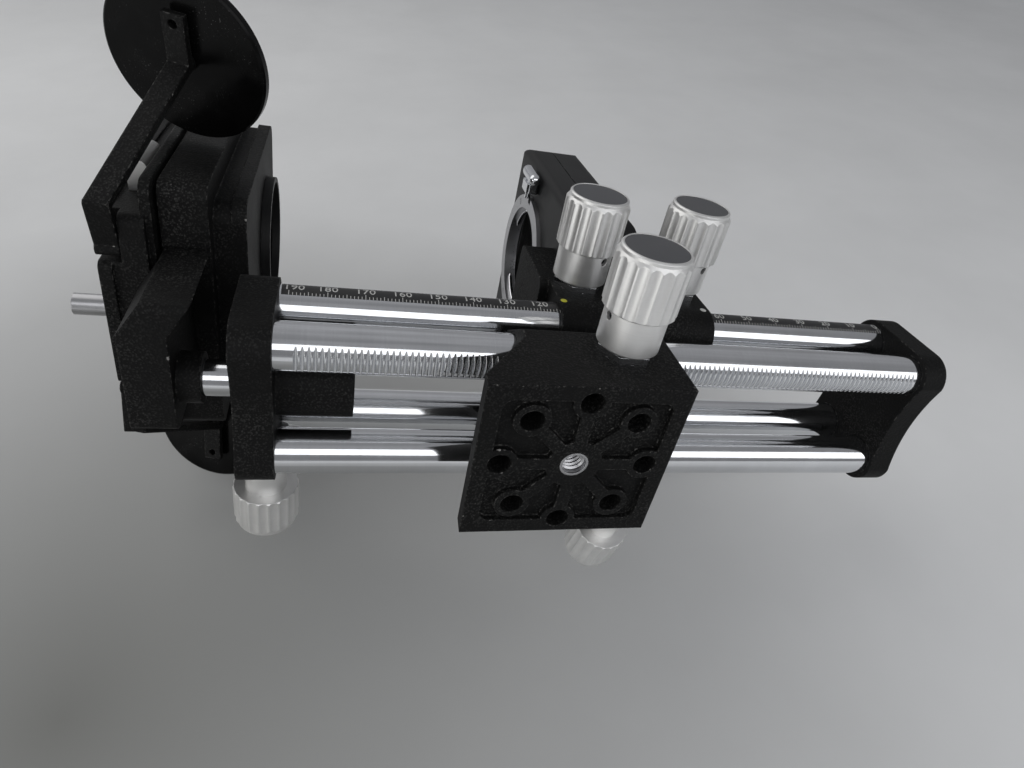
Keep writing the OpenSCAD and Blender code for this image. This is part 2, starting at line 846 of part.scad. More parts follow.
module front_knob_cap() {
  color(cap_grey) on_drive_side(front_knob_x, carriage_face, stand_pinion_z) knob_cap();
}

module front_pinion_shaft() {
  color(steel) on_drive_side(front_knob_x, carriage_face, stand_pinion_z)
    pinion_shaft(carriage_face, front_pinion_n, 180);
}

module front_lock_knob() {
  color(alloy) stand_lock_knob(front_lock_x);
}

module front_lock_screw() {
  color(steel) stand_lock_screw(front_lock_x);
}

module lens_release_pin() {
  head_r = 2.1;
  half = 5;
  color(chrome) {
    bar_y(release_x, release_y, -lens_r - 0.4, axis_z, stem_r);
    translate([release_x, release_y, axis_z - half]) cylinder(h = 2 * half, r = head_r);
    for (z = [-half, half]) translate([release_x, release_y, axis_z + z]) sphere(head_r);
  }
}

// Pleated square sleeve: two nests of rings, one outside and one inside the skin
module bellows() {
  rings = 2 * folds;
  step = (bellows_x1 - bellows_x0) / rings;
  ring = function(x, y, z) [[x, -y, axis_z - z], [x, y, axis_z - z], [x, y, axis_z + z],
    [x, -y, axis_z + z]];
  pts = [for (s = [0, skin], i = [0:rings]) let (in = s + (i % 2 == 0 ? fold_depth : 0))
    each ring(bellows_x0 + i * step, fold_y - in, fold_z - in)];
  inner = 4 * (rings + 1);
  wall = function(o, i, k) let (a = o + 4 * i + k, b = o + 4 * i + (k + 1) % 4)
    [[a, a + 4, b + 4], [a, b + 4, b]];
  turned = function(t) [t[0], t[2], t[1]];
  lip = function(i, k) let (a = 4 * i + k, b = 4 * i + (k + 1) % 4)
    [[a, b, inner + b], [a, inner + b, inner + a]];
  faces = concat(
    [for (i = [0:rings - 1], k = [0:3]) each wall(0, i, k)],
    [for (i = [0:rings - 1], k = [0:3]) each [for (t = wall(inner, i, k)) turned(t)]],
    [for (k = [0:3]) each lip(0, k)],
    [for (k = [0:3]) each [for (t = lip(rings, k)) turned(t)]]);
  color(black) polyhedron(pts, faces);
}

module copier_rod() {
  color(chrome) bar_x(body_x1 - 13, rail_x0 + boss_len - 0.2, rail_y, mid_z, copier_rod_d / 2);
}

// Arm under the copier body: its near end is in line with the body and the rest stands back
module copier_bracket() {
  lead_x = 6;
  lead_y = 9;
  edge_r = 2;
  arm_x1 = bracket_x0 + bracket_arm;
  color(black) difference() {
    union() {
      intersection() {
        translate([0, 0, bracket_z0]) linear_extrude(bracket_z1 - bracket_z0)
          polygon([[bracket_x0 + lead_x, bracket_y0], [body_x1, bracket_y0],
            [arm_x1, bracket_y0 + lead_y], [arm_x1, bracket_y1],
            [bracket_x0, bracket_y1], [bracket_x0, bracket_y0 + lead_y]]);
        slab_x(bracket_x0, body_x1)
          round_rect(bracket_y0, bracket_y1, bracket_z0, bracket_z1 + 2 * edge_r, edge_r);
      }
      bar_x(arm_x1 - 1, body_x1, rail_y, mid_z, rod_boss_r);
    }
    translate([bracket_x0 - 1, bracket_y0 - 1, box_z0 - 1])
      cube([body_x0 - bracket_x0 + 1, bracket_y1 - bracket_y0 + 2, bracket_z1 - box_z0 + 2]);
    bar_x(body_x1 - 13, body_x1 + 1, rail_y, mid_z, copier_rod_d / 2 + press);
    bar_x(body_x0 - 1, low_pin_end, low_pin_y, low_pin_z, low_pin_r + press);
  }
}

module copier_body() {
  neck_z0 = 66;
  color(black) difference() {
    union() {
      slab_x(body_x0, body_x1)
        round_rect(-copier_half, copier_half, body_z0, body_z1, body_r);
      slab_x(body_x1 - 1, front_plate_x0 + 1)
        round_rect(-neck_half, neck_half, neck_z0, body_z1 - 1, 6);
      slab_x(front_plate_x0, front_plate_x1)
        round_rect(-front_half, front_half, neck_z0, body_z1, 6);
    }
    translate([body_x0 - 1, -window_half, axis_z - window_half])
      cube([body_x1 - body_x0 + 0.5, 2 * window_half, 2 * window_half]);
    bar_x(body_x1 - 1, front_plate_x1 + 1, 0, axis_z, ring_bore_r + 1);
    bar_x(body_x0 - 1, low_pin_end, low_pin_y, low_pin_z, low_pin_r + press);
    bar_x(body_x0 - 1, body_x1 - 3, 0, high_pin_z, high_pin_r + press);
  }
}

module copier_ring() {
  color(black) difference() {
    bar_x(front_plate_x1, ring_x1, 0, axis_z, ring_r);
    bar_x(front_plate_x1 - 1, ring_x1 + 1, 0, axis_z, ring_bore_r);
  }
}

module gate_guide_pins() {
  color(alloy) {
    bar_x(low_pin_x, low_pin_end, low_pin_y, low_pin_z, low_pin_r);
    bar_x(high_pin_x, body_x1 - 3, 0, high_pin_z, high_pin_r);
  }
}

module gate_frame() {
  tab_half = hinge_y - knuckle_r - 1.2;
  color(black) difference() {
    union() {
      slab_x(ridge_x0, ridge_x1) round_rect(-ridge_half, ridge_half, ridge_z0, ridge_z1, 4);
      slab_x(box_x0 - 1, ridge_x0 + 1) round_rect(-box_half, box_half, box_z0, box_z1, 3);
      slab_x(rim_x0, box_x0) {
        round_rect(-rim_half, rim_half, rim_z0, rim_z1, 4);
        round_rect(-tab_half, tab_half, tab_z0, rim_z0 + 6, 2);
      }
    }
    translate([rim_x0 - 1, -window_half, axis_z - window_half])
      cube([30, 2 * window_half, 2 * window_half]);
    translate([rim_x0 - 1, -opal_half - press, axis_z - opal_half - press])
      cube([opal_x0 + opal_t - rim_x0 + 1, 2 * (opal_half + press), 2 * (opal_half + press)]);
    bar_x(rim_x0 - 1, ridge_x1 + 1, low_pin_y, low_pin_z, low_pin_r + run);
    bar_x(rim_x0 - 1, ridge_x1 + 1, 0, high_pin_z, high_pin_r + run);
    for (s = [-1, 1]) {
      bar_x(rim_x0 - 1, hinge_end, s * hinge_y, hinge_z, hinge_pin_r + press);
      translate([box_x0 - 2, s > 0 ? tab_half : -tab_half - 20, box_z0 - 2])
        cube([hinge_wall - box_x0 + 2, 20, 7]);
    }
  }
}

module opal_diffuser() {
  color([0.92, 0.92, 0.9]) translate([opal_x0, -opal_half, axis_z - opal_half])
    cube([opal_t, 2 * opal_half, 2 * opal_half]);
}

module gate_catch() {
  catch_r = 2.6;
  x = -112.2;
  color(alloy) {
    translate([x - catch_r, -box_half - catch_reach, catch_z])
      cube([2 * catch_r, catch_reach, catch_h]);
    translate([x, -box_half - catch_reach, catch_z]) cylinder(h = catch_h, r = catch_r);
  }
}

module tray_hinge_pins() {
  color(steel) for (s = [-1, 1])
    bar_x(hinge_x - strap_w / 2 - 0.4, hinge_end, s * hinge_y, hinge_z, hinge_pin_r);
}

// Puts a tray piece on its hinge: side -1 is the drive side, side 1 its mirror image
module on_hinge(side) {
  translate([hinge_x, side * hinge_y, hinge_z]) mirror([0, side > 0 ? 1 : 0, 0])
    rotate([strap_drop, 0, 0]) children();
}

// Moves from the first leg of the strap to the seat of the disc
module on_strap_end() {
  translate([0, -strap_first, 0]) rotate([strap_lean_y, strap_lean_x, 0])
    translate([0, 0, strap_rise]) rotate([-strap_lean_y, 0, 0]) rotate([0, disc_tilt - strap_lean_x, 0])
      children();
}

// Bent strap from the hinge knuckle to the disc
module tray_arm(side) {
  half = strap_w / 2;
  on_hinge(side) difference() {
    union() {
      translate([-half, 0, 0]) rotate([0, 90, 0]) cylinder(h = strap_w, r = knuckle_r);
      translate([-half, -strap_first, -strap_t / 2]) cube([strap_w, strap_first, strap_t]);
      translate([-half, -strap_first, 0]) rotate([0, 90, 0])
        cylinder(h = strap_w, r = strap_t / 2);
      translate([0, -strap_first, 0]) rotate([strap_lean_y, strap_lean_x, 0])
        translate([-half, -strap_t / 2, 0]) cube([strap_w, strap_t, strap_rise]);
      on_strap_end() {
        translate([-half, -strap_last, -strap_t / 2]) cube([strap_w, strap_last + 1, strap_t]);
        cylinder(h = strap_t / 2 + disc_seat, r = half);
      }
    }
    translate([-half - 1, 0, 0]) rotate([0, 90, 0])
      cylinder(h = strap_w + 2, r = hinge_pin_r + run);
    on_strap_end() translate([0, -strap_last + 2.6, -3]) cylinder(h = 6, r = 1.2);
  }
}

// Film tray disc with a shallow turned face
module tray_disc(side) {
  on_hinge(side) on_strap_end() translate([0, 0, strap_t / 2 + disc_seat])
    rotate_extrude() polygon([[0, 0], [disc_r - 0.6, 0], [disc_r, 0.6], [disc_r, disc_t],
      [disc_r - 2, disc_t], [disc_r - 3, disc_t - 0.8], [0, disc_t - 0.8]]);
}

module tray_arm_near() {
  color(black) tray_arm(-1);
}

module tray_disc_near() {
  color(black) tray_disc(-1);
}

module tray_arm_far() {
  color(black) tray_arm(1);
}

module tray_disc_far() {
  color(black) tray_disc(1);
}

foot_block();
tripod_bush();
foot_bearing_nut();
foot_brake_pin();
foot_drive_knob();
foot_knob_cap();
foot_pinion_shaft();
foot_lock_knob();
foot_lock_screw();
rod_scale();
rod_rack();
rod_low_far();
rod_high_far();
scale_strip();
left_end_plate();
right_end_plate();
end_plate_screws();
clamp_knob();
clamp_screw();
rear_carriage();
rear_plate();
rear_bearing_nut();
bellows_rear_frame();
camera_mount_ring();
rear_drive_knob();
rear_knob_cap();
rear_pinion_shaft();
rear_lock_knob();
rear_lock_screw();
front_carriage();
front_plate();
lens_mount_ring();
front_bearing_nut();
bellows_front_frame();
release_bracket();
front_drive_knob();
front_knob_cap();
front_pinion_shaft();
front_lock_knob();
front_lock_screw();
lens_release_pin();
bellows();
copier_rod();
copier_bracket();
copier_body();
copier_ring();
gate_guide_pins();
gate_frame();
opal_diffuser();
gate_catch();
tray_hinge_pins();
tray_arm_near();
tray_disc_near();
tray_arm_far();
tray_disc_far();
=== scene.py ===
"""Macro bellows with a slide copier: finishes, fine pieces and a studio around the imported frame."""

import json
import math

import bmesh
import bpy
from bpy.props import FloatProperty, FloatVectorProperty, IntProperty, PointerProperty
from mathutils import Matrix, Vector


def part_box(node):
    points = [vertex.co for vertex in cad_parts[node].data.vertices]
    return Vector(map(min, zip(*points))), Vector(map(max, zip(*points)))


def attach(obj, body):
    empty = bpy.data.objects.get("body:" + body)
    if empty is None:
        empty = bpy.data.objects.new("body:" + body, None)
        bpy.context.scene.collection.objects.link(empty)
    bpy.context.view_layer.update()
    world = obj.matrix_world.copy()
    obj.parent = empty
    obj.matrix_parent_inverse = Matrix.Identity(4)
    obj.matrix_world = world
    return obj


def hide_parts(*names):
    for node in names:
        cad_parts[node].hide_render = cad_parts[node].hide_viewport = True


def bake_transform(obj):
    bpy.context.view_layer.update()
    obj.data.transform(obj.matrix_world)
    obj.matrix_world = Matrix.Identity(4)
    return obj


bl_info = {
    "name": "Macro bellows with slide copier",
    "version": (1, 0, 0),
    "blender": (4, 5, 0),
    "location": "3D View > Sidebar > Bellows",
    "description": "Dresses the packed frame of a macro bellows and sets it in a plain studio",
    "category": "Object",
}

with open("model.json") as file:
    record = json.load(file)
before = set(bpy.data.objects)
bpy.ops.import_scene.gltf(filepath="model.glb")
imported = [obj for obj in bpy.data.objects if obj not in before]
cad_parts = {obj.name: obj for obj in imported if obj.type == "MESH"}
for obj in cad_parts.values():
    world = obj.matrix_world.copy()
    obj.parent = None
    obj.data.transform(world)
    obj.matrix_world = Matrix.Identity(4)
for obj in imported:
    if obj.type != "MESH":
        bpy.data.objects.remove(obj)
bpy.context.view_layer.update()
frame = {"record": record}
MM = 0.001

# Places that the solids fix, in millimetres of the shared frame
AXIS_Z = 119.0
ROD_R = 6.5
SCALE_Y = -13.05
SCALE_Z = 47.9
SCALE_FACING = math.radians(182.0)
SCALE_ZERO_X = 117.8
# For each drive knob: the middle of its seat and the turn of its grub screw from straight down
DRIVES = {
    "foot_drive": (12.5, -24.5, 16.8, -78.0),
    "front_drive": (12.6, -21.25, 59.9, 27.0),
    "rear_drive": (45.587, -21.25, 59.9, 27.0),
}
# A grub screw: its height above the seat, its radius, and its two ends from the knob's axis
GRUB_UP = 11.1
GRUB_R = 1.05
GRUB_ENDS = (3.2, 7.5)
# The last number of the scale stands this far from its tick, clear of the end plate
LAST_NUMBER_IN = 1.3
CARRIAGE_FACE = -21.25
# Screw in the bore of the copier's front ring: its x, the bore's radius, its turn from straight up
RING_SCREW = (-85.7, 21.0, 13.5)
RING_HEAD_SINK = 0.05
RING_HEAD_R = 0.6
RING_HEAD_HEIGHT = 0.5
# For each mount: its body, the two ends and the two radii of its lugs, the x of its face and the way that
# this faces, the radius and the turns of its screws, and the radius of a screw's head
MOUNTS = {
    "lens_mount": ("front_standard", (11.2, 12.6), (18.9, 20.56), 9.5, -1.0, 23.0, (30, 150, 270), 0.95),
    "camera_mount": ("camera_mount", (33.0, 34.4), (20.6, 22.06), 36.0, 1.0, 24.5, (90, 210, 330), 1.05),
}
LUG_MIDDLES = (20.0, 140.0, 260.0)
LUG_HALF = 27.0
# The mounts' screw heads lie sunk in their faces
HEAD_SINK = 0.75
HEAD_HEIGHT = 0.7
# For each index dot: its x and z on the carriage's face, its finish and its body
INDEX_DOTS = {
    "front_index_dot": (5.1, 48.0, "yellow_enamel", "front_standard"),
    "rear_index_dot": (51.5, 48.2, "white_enamel", "rear_standard"),
}
# Each metal: the setting of its colour, its dull and its bright roughness, how its marks are drawn out,
# their depth and the radius of its edges in millimetres, and its share of metal
METALS = {
    "chrome_rod": ("chrome", 0.16, 0.06, (3500.0, 30.0, 30.0), 0.001, 0.2, 1.0),
    "bright_chrome": ("chrome", 0.2, 0.09, (800.0, 800.0, 800.0), 0.001, 0.25, 1.0),
    "knob_alloy": ("alloy", 0.52, 0.36, (60.0, 4000.0, 60.0), 0.003, 0.3, 0.88),
    "plain_steel": ("steel", 0.42, 0.25, (2500.0, 2500.0, 60.0), 0.002, 0.2, 1.0),
    "dark_steel": ("dark_steel", 0.45, 0.3, (2500.0, 2500.0, 60.0), 0.002, 0.2, 1.0),
}
DUST_COLOUR = (0.4, 0.4, 0.39)
# Nodes that look other than their slot's finish
OWN_FINISH = {"gate_guide_pins": "plain_steel", "lens_mount_ring": "plain_steel"}
# The corners of a square, in order
SQUARE = ((-1, -1), (1, -1), (1, 1), (-1, 1))
# Faces that meet at more than this angle keep a sharp edge
SHARP_ANGLE = math.radians(38.0)

# Camera, table and light, with directions from the middle of the object
CAMERA_PLACE = Vector((-61.0, -110.15, -118.76)) * MM
CAMERA_RIGHT = Vector((0.96417, -0.182046, -0.192967))
CAMERA_UP = Vector((-0.033835, -0.805836, 0.591172))
CAMERA_AHEAD = Vector((0.26312, 0.56346, 0.783122))
TABLE_AWAY = Vector((0.15, 0.98, 0.12)).normalized()
# No piece reaches as far as the table in any pose
TABLE_POINT = TABLE_AWAY * 85.3 * MM
MIDDLE = Vector((0.005, 0.0, 0.075))
WINDOW = Vector((-0.65, -0.65, 0.4)).normalized()
# The rods mirror this side of the room as their bright band
BRIGHT_SIDE = Vector((0.26, -0.5, -0.83)).normalized()
# The knobs mirror this side as their bright streaks
SIDE = Vector((-0.8, 0.15, -0.55)).normalized()
# A painted shadow on the table: its colour is darkest here and grows paler away from it
PAINTED_SHADOW_POINT = Vector((-135.0, 107.0, 4.0)) * MM
PAINTED_SHADOW_REACH = 0.3
PAINTED_SHADOW_TINT = (0.30, 0.30, 0.285)
# The room's light on its far side and towards the window
ROOM_DARK = (0.03, 0.03, 0.031)
ROOM_PALE = (0.38, 0.385, 0.40)


def colour_prop(name, description, default):
    """A colour property with the picker and limits that all colours here share."""
    return FloatVectorProperty(
        name=name, description=description, default=default, subtype="COLOR", size=3, min=0.0, max=1.0
    )


def length_prop(name, description, default):
    """A length property in metres."""
    return FloatProperty(name=name, description=description, default=default, unit="LENGTH", precision=5)


def power_prop(name, description, default):
    """A light's power in watts."""
    return FloatProperty(name=name, description=description, default=default, unit="POWER", min=0.0)


class BellowsSizes(bpy.types.PropertyGroup):
    """Form of the pleated sleeve."""

    folds: IntProperty(name="Folds", description="Number of outward folds", default=12, min=4, max=24)
    depth: length_prop("Fold depth", "How far a valley lies inside a crest", 3.6 * MM)
    sheet: length_prop("Sheet", "Thickness of the leathercloth", 0.3 * MM)


class ScaleSizes(bpy.types.PropertyGroup):
    """Marks of the millimetre scale."""

    length: IntProperty(name="Last mark", description="Highest reading in millimetres", default=190)
    line: length_prop("Line width", "Width of a tick", 0.17 * MM)
    short: length_prop("Short tick", "Tick at every millimetre", 0.85 * MM)
    middle: length_prop("Middle tick", "Tick at every five millimetres", 1.2 * MM)
    long: length_prop("Long tick", "Tick at every ten millimetres", 1.6 * MM)
    digit: length_prop("Digit size", "Size of the type", 3.7 * MM)


class Finishes(bpy.types.PropertyGroup):
    """Colours of the finishes."""

    paint: colour_prop("Wrinkle paint", "Black paint in the grain's valleys", (0.004, 0.004, 0.004))
    # Paint of the rubbed tops and of the film of use; on the wrinkle paint's grain tops its paleness is
    # partly a painted highlight
    paint_top: colour_prop("Worn paint", "Black paint where hands have rubbed it", (0.046, 0.046, 0.044))
    # Also the colour of the painted highlight along the edges of the wrinkle paint
    bare: colour_prop("Bare edge", "Metal and primer that show on worn edges", (0.42, 0.41, 0.39))
    satin: colour_prop("Satin paint", "Smooth black paint of the standards", (0.006, 0.006, 0.0065))
    chrome: colour_prop("Chrome", "Polished chrome", (0.86, 0.87, 0.89))
    alloy: colour_prop("Aluminium", "Turned aluminium of the knobs", (0.90, 0.895, 0.88))
    steel: colour_prop("Steel", "Plain turned steel", (0.50, 0.50, 0.51))
    dark_steel: colour_prop("Dark steel", "Blackened steel of the grub screws", (0.09, 0.09, 0.095))
    cap: colour_prop("Cap", "Dark grey caps of the drive knobs", (0.075, 0.077, 0.083))
    white: colour_prop("White marks", "Filled marks of the scale", (0.62, 0.62, 0.60))
    yellow: colour_prop("Yellow dot", "Index dot of the front standard", (0.50, 0.48, 0.03))


class Studio(bpy.types.PropertyGroup):
    """Floor, table and light."""

    floor: colour_prop("Floor", "Plain pale floor", (0.62, 0.62, 0.62))
    table: colour_prop("Table", "Grey table behind the object", (0.76, 0.765, 0.765))
    key: power_prop("Key light", "Power of the window light", 2.2)
    behind: power_prop("Light behind", "Power of the light behind the camera", 3.6)
    side: power_prop("Side light", "Power of the light that streaks the knobs", 1.4)
    fill: power_prop("Fill light", "Power of each fill light", 0.8)
    sky: FloatProperty(name="Room light", description="Strength of the soft light of the room", default=1.0)


def socket(tree, name, way, kind="NodeSocketFloat", default=None):
    """Adds an interface socket to a node group."""
    item = tree.interface.new_socket(name=name, in_out=way, socket_type=kind)
    if default is not None:
        item.default_value = default


def add_node(tree, kind, place=(0, 0), **settings):
    """A new node with its settings."""
    node = tree.nodes.new(kind)
    node.location = place
    for key, value in settings.items():
        setattr(node, key, value)
    return node


def math_node(tree, operation, first, second=None):
    """A Math node fed by sockets or plain numbers."""
    node = add_node(tree, "ShaderNodeMath", operation=operation)
    for index, value in enumerate((first, second)):
        if value is None:
            continue
        if isinstance(value, (int, float)):
            node.inputs[index].default_value = value
        else:
            tree.links.new(value, node.inputs[index])
    return node.outputs[0]


def spread(tree, value, low, high, to_low=0.0, to_high=1.0):
    """A Map Range node, clamped."""
    node = add_node(tree, "ShaderNodeMapRange", clamp=True)
    tree.links.new(value, node.inputs["Value"])
    node.inputs["From Min"].default_value = low
    node.inputs["From Max"].default_value = high
    node.inputs["To Min"].default_value = to_low
    node.inputs["To Max"].default_value = to_high
    return node.outputs["Result"]


def noise(tree, vector, scale, detail=2.0, rough=0.5):
    """A Noise Texture node."""
    node = add_node(tree, "ShaderNodeTexNoise")
    tree.links.new(vector, node.inputs["Vector"])
    if isinstance(scale, (int, float)):
        node.inputs["Scale"].default_value = scale
    else:
        tree.links.new(scale, node.inputs["Scale"])
    node.inputs["Detail"].default_value = detail
    node.inputs["Roughness"].default_value = rough
    return node.outputs[0]


def mix_colour(tree, factor, first, second):
    """A colour mix of two colours by a mask."""
    node = add_node(tree, "ShaderNodeMix", data_type="RGBA")
    tree.links.new(factor, node.inputs["Factor"])
    for name, value in (("A", first), ("B", second)):
        target = [s for s in node.inputs if s.name == name and s.type == "RGBA"][0]
        if isinstance(value, bpy.types.NodeSocket):
            tree.links.new(value, target)
        else:
            target.default_value = (*value, 1.0)
    return [s for s in node.outputs if s.type == "RGBA"][0]


def bumped(tree, height, depth, normal):
    """A normal that a height bumps by a depth."""
    node = add_node(tree, "ShaderNodeBump")
    node.inputs["Strength"].default_value = 1.0
    tree.links.new(depth, node.inputs["Distance"])
    tree.links.new(height, node.inputs["Height"])
    tree.links.new(normal, node.inputs["Normal"])
    return node.outputs["Normal"]


def turned_away(tree, first, second):
    """How far two normals lie apart, 0 where they agree."""
    dot = add_node(tree, "ShaderNodeVectorMath", operation="DOT_PRODUCT")
    tree.links.new(first, dot.inputs[0])
    tree.links.new(second, dot.inputs[1])
    return math_node(tree, "SUBTRACT", 1.0, dot.outputs["Value"])


def edge_wear_group():
    """Softens an edge and marks where its finish has rubbed off, in patches and in small chips."""
    tree = bpy.data.node_groups.new("edge_wear", "ShaderNodeTree")
    socket(tree, "Radius", "INPUT", default=0.3 * MM)
    socket(tree, "Patch", "INPUT", default=300.0)
    socket(tree, "Mask", "OUTPUT")
    socket(tree, "Chips", "OUTPUT")
    socket(tree, "Normal", "OUTPUT", "NodeSocketVector")
    given = add_node(tree, "NodeGroupInput")
    out = add_node(tree, "NodeGroupOutput")
    bevel = add_node(tree, "ShaderNodeBevel", samples=6)
    tree.links.new(given.outputs["Radius"], bevel.inputs["Radius"])
    wide = add_node(tree, "ShaderNodeBevel", samples=6)
    tree.links.new(math_node(tree, "MULTIPLY", given.outputs["Radius"], 1.3), wide.inputs["Radius"])
    true_normal = add_node(tree, "ShaderNodeNewGeometry").outputs["Normal"]
    edge = spread(tree, turned_away(tree, bevel.outputs["Normal"], true_normal), 0.03, 0.22)
    near = spread(tree, turned_away(tree, wide.outputs["Normal"], true_normal), 0.01, 0.06)
    coords = add_node(tree, "ShaderNodeTexCoord").outputs["Object"]
    patch = spread(tree, noise(tree, coords, given.outputs["Patch"], 4.0, 0.65), 0.52, 0.64)
    chips = spread(tree, noise(tree, coords, 560.0, 1.0, 0.4), 0.74, 0.78)
    tree.links.new(math_node(tree, "MULTIPLY", edge, patch), out.inputs["Mask"])
    tree.links.new(math_node(tree, "MULTIPLY", near, chips), out.inputs["Chips"])
    tree.links.new(bevel.outputs["Normal"], out.inputs["Normal"])


def pebble_group():
    """Grain of a wrinkle paint, a leathercloth or a moulding: its height and its bumped normal."""
    tree = bpy.data.node_groups.new("pebble", "ShaderNodeTree")
    socket(tree, "Scale", "INPUT", default=1500.0)
    socket(tree, "Depth", "INPUT", default=0.06 * MM)
    socket(tree, "Normal", "INPUT", "NodeSocketVector")
    socket(tree, "Height", "OUTPUT")
    socket(tree, "Normal", "OUTPUT", "NodeSocketVector")
    given = add_node(tree, "NodeGroupInput")
    out = add_node(tree, "NodeGroupOutput")
    coords = add_node(tree, "ShaderNodeTexCoord").outputs["Object"]
    soft = noise(tree, coords, given.outputs["Scale"], 2.5, 0.55)
    cells = add_node(tree, "ShaderNodeTexVoronoi", feature="SMOOTH_F1")
    tree.links.new(coords, cells.inputs["Vector"])
    tree.links.new(given.outputs["Scale"], cells.inputs["Scale"])
    grain = math_node(tree, "SUBTRACT", 1.0, cells.outputs["Distance"])
    height = math_node(tree, "MULTIPLY", math_node(tree, "ADD", soft, grain), 0.6)
    normal = bumped(tree, height, given.outputs["Depth"], given.outputs["Normal"])
    tree.links.new(height, out.inputs["Height"])
    tree.links.new(normal, out.inputs["Normal"])


def fine_lines_group():
    """Turning or grinding marks: noise drawn out by Stretch, as a value and a bumped normal."""
    tree = bpy.data.node_groups.new("fine_lines", "ShaderNodeTree")
    socket(tree, "Stretch", "INPUT", "NodeSocketVector", (40.0, 5000.0, 40.0))
    socket(tree, "Depth", "INPUT", default=0.004 * MM)
    socket(tree, "Normal", "INPUT", "NodeSocketVector")
    socket(tree, "Value", "OUTPUT")
    socket(tree, "Normal", "OUTPUT", "NodeSocketVector")
    given = add_node(tree, "NodeGroupInput")
    out = add_node(tree, "NodeGroupOutput")
    coords = add_node(tree, "ShaderNodeTexCoord").outputs["Object"]
    drawn = add_node(tree, "ShaderNodeVectorMath", operation="MULTIPLY")
    tree.links.new(coords, drawn.inputs[0])
    tree.links.new(given.outputs["Stretch"], drawn.inputs[1])
    lines = noise(tree, drawn.outputs["Vector"], 1.0, 3.0, 0.6)
    normal = bumped(tree, lines, given.outputs["Depth"], given.outputs["Normal"])
    tree.links.new(lines, out.inputs["Value"])
    tree.links.new(normal, out.inputs["Normal"])


def rings_group():
    """Turned rings about the middle of a round piece that faces along Y, as a bumped normal."""
    tree = bpy.data.node_groups.new("rings", "ShaderNodeTree")
    socket(tree, "Turns", "INPUT", default=200.0)
    socket(tree, "Depth", "INPUT", default=0.004 * MM)
    socket(tree, "Normal", "INPUT", "NodeSocketVector")
    socket(tree, "Normal", "OUTPUT", "NodeSocketVector")
    given = add_node(tree, "NodeGroupInput")
    out = add_node(tree, "NodeGroupOutput")
    coords = add_node(tree, "ShaderNodeTexCoord").outputs["Generated"]
    flat = add_node(tree, "ShaderNodeVectorMath", operation="MULTIPLY_ADD")
    tree.links.new(coords, flat.inputs[0])
    flat.inputs[1].default_value = (1.0, 0.0, 1.0)
    flat.inputs[2].default_value = (-0.5, 0.0, -0.5)
    reach = add_node(tree, "ShaderNodeVectorMath", operation="LENGTH")
    tree.links.new(flat.outputs["Vector"], reach.inputs[0])
    turn = math_node(tree, "MULTIPLY", reach.outputs["Value"], given.outputs["Turns"])
    height = spread(tree, math_node(tree, "SINE", turn), -1.0, 1.0)
    normal = bumped(tree, height, given.outputs["Depth"], given.outputs["Normal"])
    tree.links.new(normal, out.inputs["Normal"])


def smudge_group():
    """Faint uneven film of use: dull patches and a little dust, as two masks."""
    tree = bpy.data.node_groups.new("smudge", "ShaderNodeTree")
    socket(tree, "Size", "INPUT", default=60.0)
    socket(tree, "Film", "OUTPUT")
    socket(tree, "Dust", "OUTPUT")
    given = add_node(tree, "NodeGroupInput")
    out = add_node(tree, "NodeGroupOutput")
    coords = add_node(tree, "ShaderNodeTexCoord").outputs["Object"]
    film = spread(tree, noise(tree, coords, given.outputs["Size"], 5.0, 0.6), 0.35, 0.75)
    specks = spread(tree, noise(tree, coords, 2600.0, 1.0, 0.4), 0.70, 0.78)
    where = spread(tree, noise(tree, coords, given.outputs["Size"], 2.0, 0.5), 0.50, 0.70)
    tree.links.new(film, out.inputs["Film"])
    tree.links.new(math_node(tree, "MULTIPLY", specks, where), out.inputs["Dust"])


def group_node(tree, name, **values):
    """A node of one of the shared groups, with plain values or links on its inputs."""
    node = add_node(tree, "ShaderNodeGroup")
    node.node_tree = bpy.data.node_groups[name]
    for key, value in values.items():
        if isinstance(value, bpy.types.NodeSocket):
            tree.links.new(value, node.inputs[key])
        else:
            node.inputs[key].default_value = value
    return node


def new_material(name):
    """A material with one Principled shader, and that shader."""
    made = bpy.data.materials.new(name)
    made.use_nodes = True
    tree = made.node_tree
    tree.nodes.clear()
    shader = add_node(tree, "ShaderNodeBsdfPrincipled", (400, 0))
    out = add_node(tree, "ShaderNodeOutputMaterial", (800, 0))
    tree.links.new(shader.outputs["BSDF"], out.inputs["Surface"])
    return made, tree, shader


def wrinkle_paint(look):
    """Black wrinkle paint with a fine grain, rubbed tops and bare specks along the edges. The paler tops
    and the pale band along the edges are partly wear and partly a painted highlight.
    """
    made, tree, shader = new_material("wrinkle_paint")
    wear = group_node(tree, "edge_wear", Radius=0.8 * MM, Patch=900.0)
    grain = group_node(tree, "pebble", Scale=1700.0, Depth=0.12 * MM, Normal=wear.outputs["Normal"])
    marks = group_node(tree, "smudge", Size=45.0)
    # Paler grain tops: partly rubbed paint, partly a painted highlight on the wrinkle grain
    tops = spread(tree, grain.outputs["Height"], 0.64, 0.86)
    rubbed = math_node(tree, "MULTIPLY", tops, marks.outputs["Film"])
    coat = mix_colour(tree, rubbed, look.paint, look.paint_top)
    dust = math_node(tree, "MULTIPLY", marks.outputs["Dust"], 0.25)
    dusty = mix_colour(tree, dust, coat, look.bare)
    # Pale band along the edges: partly rubbed wear, partly a painted edge highlight
    rubbed_edge_and_highlight = math_node(tree, "MULTIPLY", wear.outputs["Mask"], 0.3)
    worn = math_node(tree, "MAXIMUM", rubbed_edge_and_highlight, wear.outputs["Chips"])
    tree.links.new(mix_colour(tree, worn, dusty, look.bare), shader.inputs["Base Color"])
    tree.links.new(spread(tree, marks.outputs["Film"], 0.0, 1.0, 0.56, 0.7), shader.inputs["Roughness"])
    shader.inputs["Specular IOR Level"].default_value = 0.14
    tree.links.new(grain.outputs["Normal"], shader.inputs["Normal"])
    return made


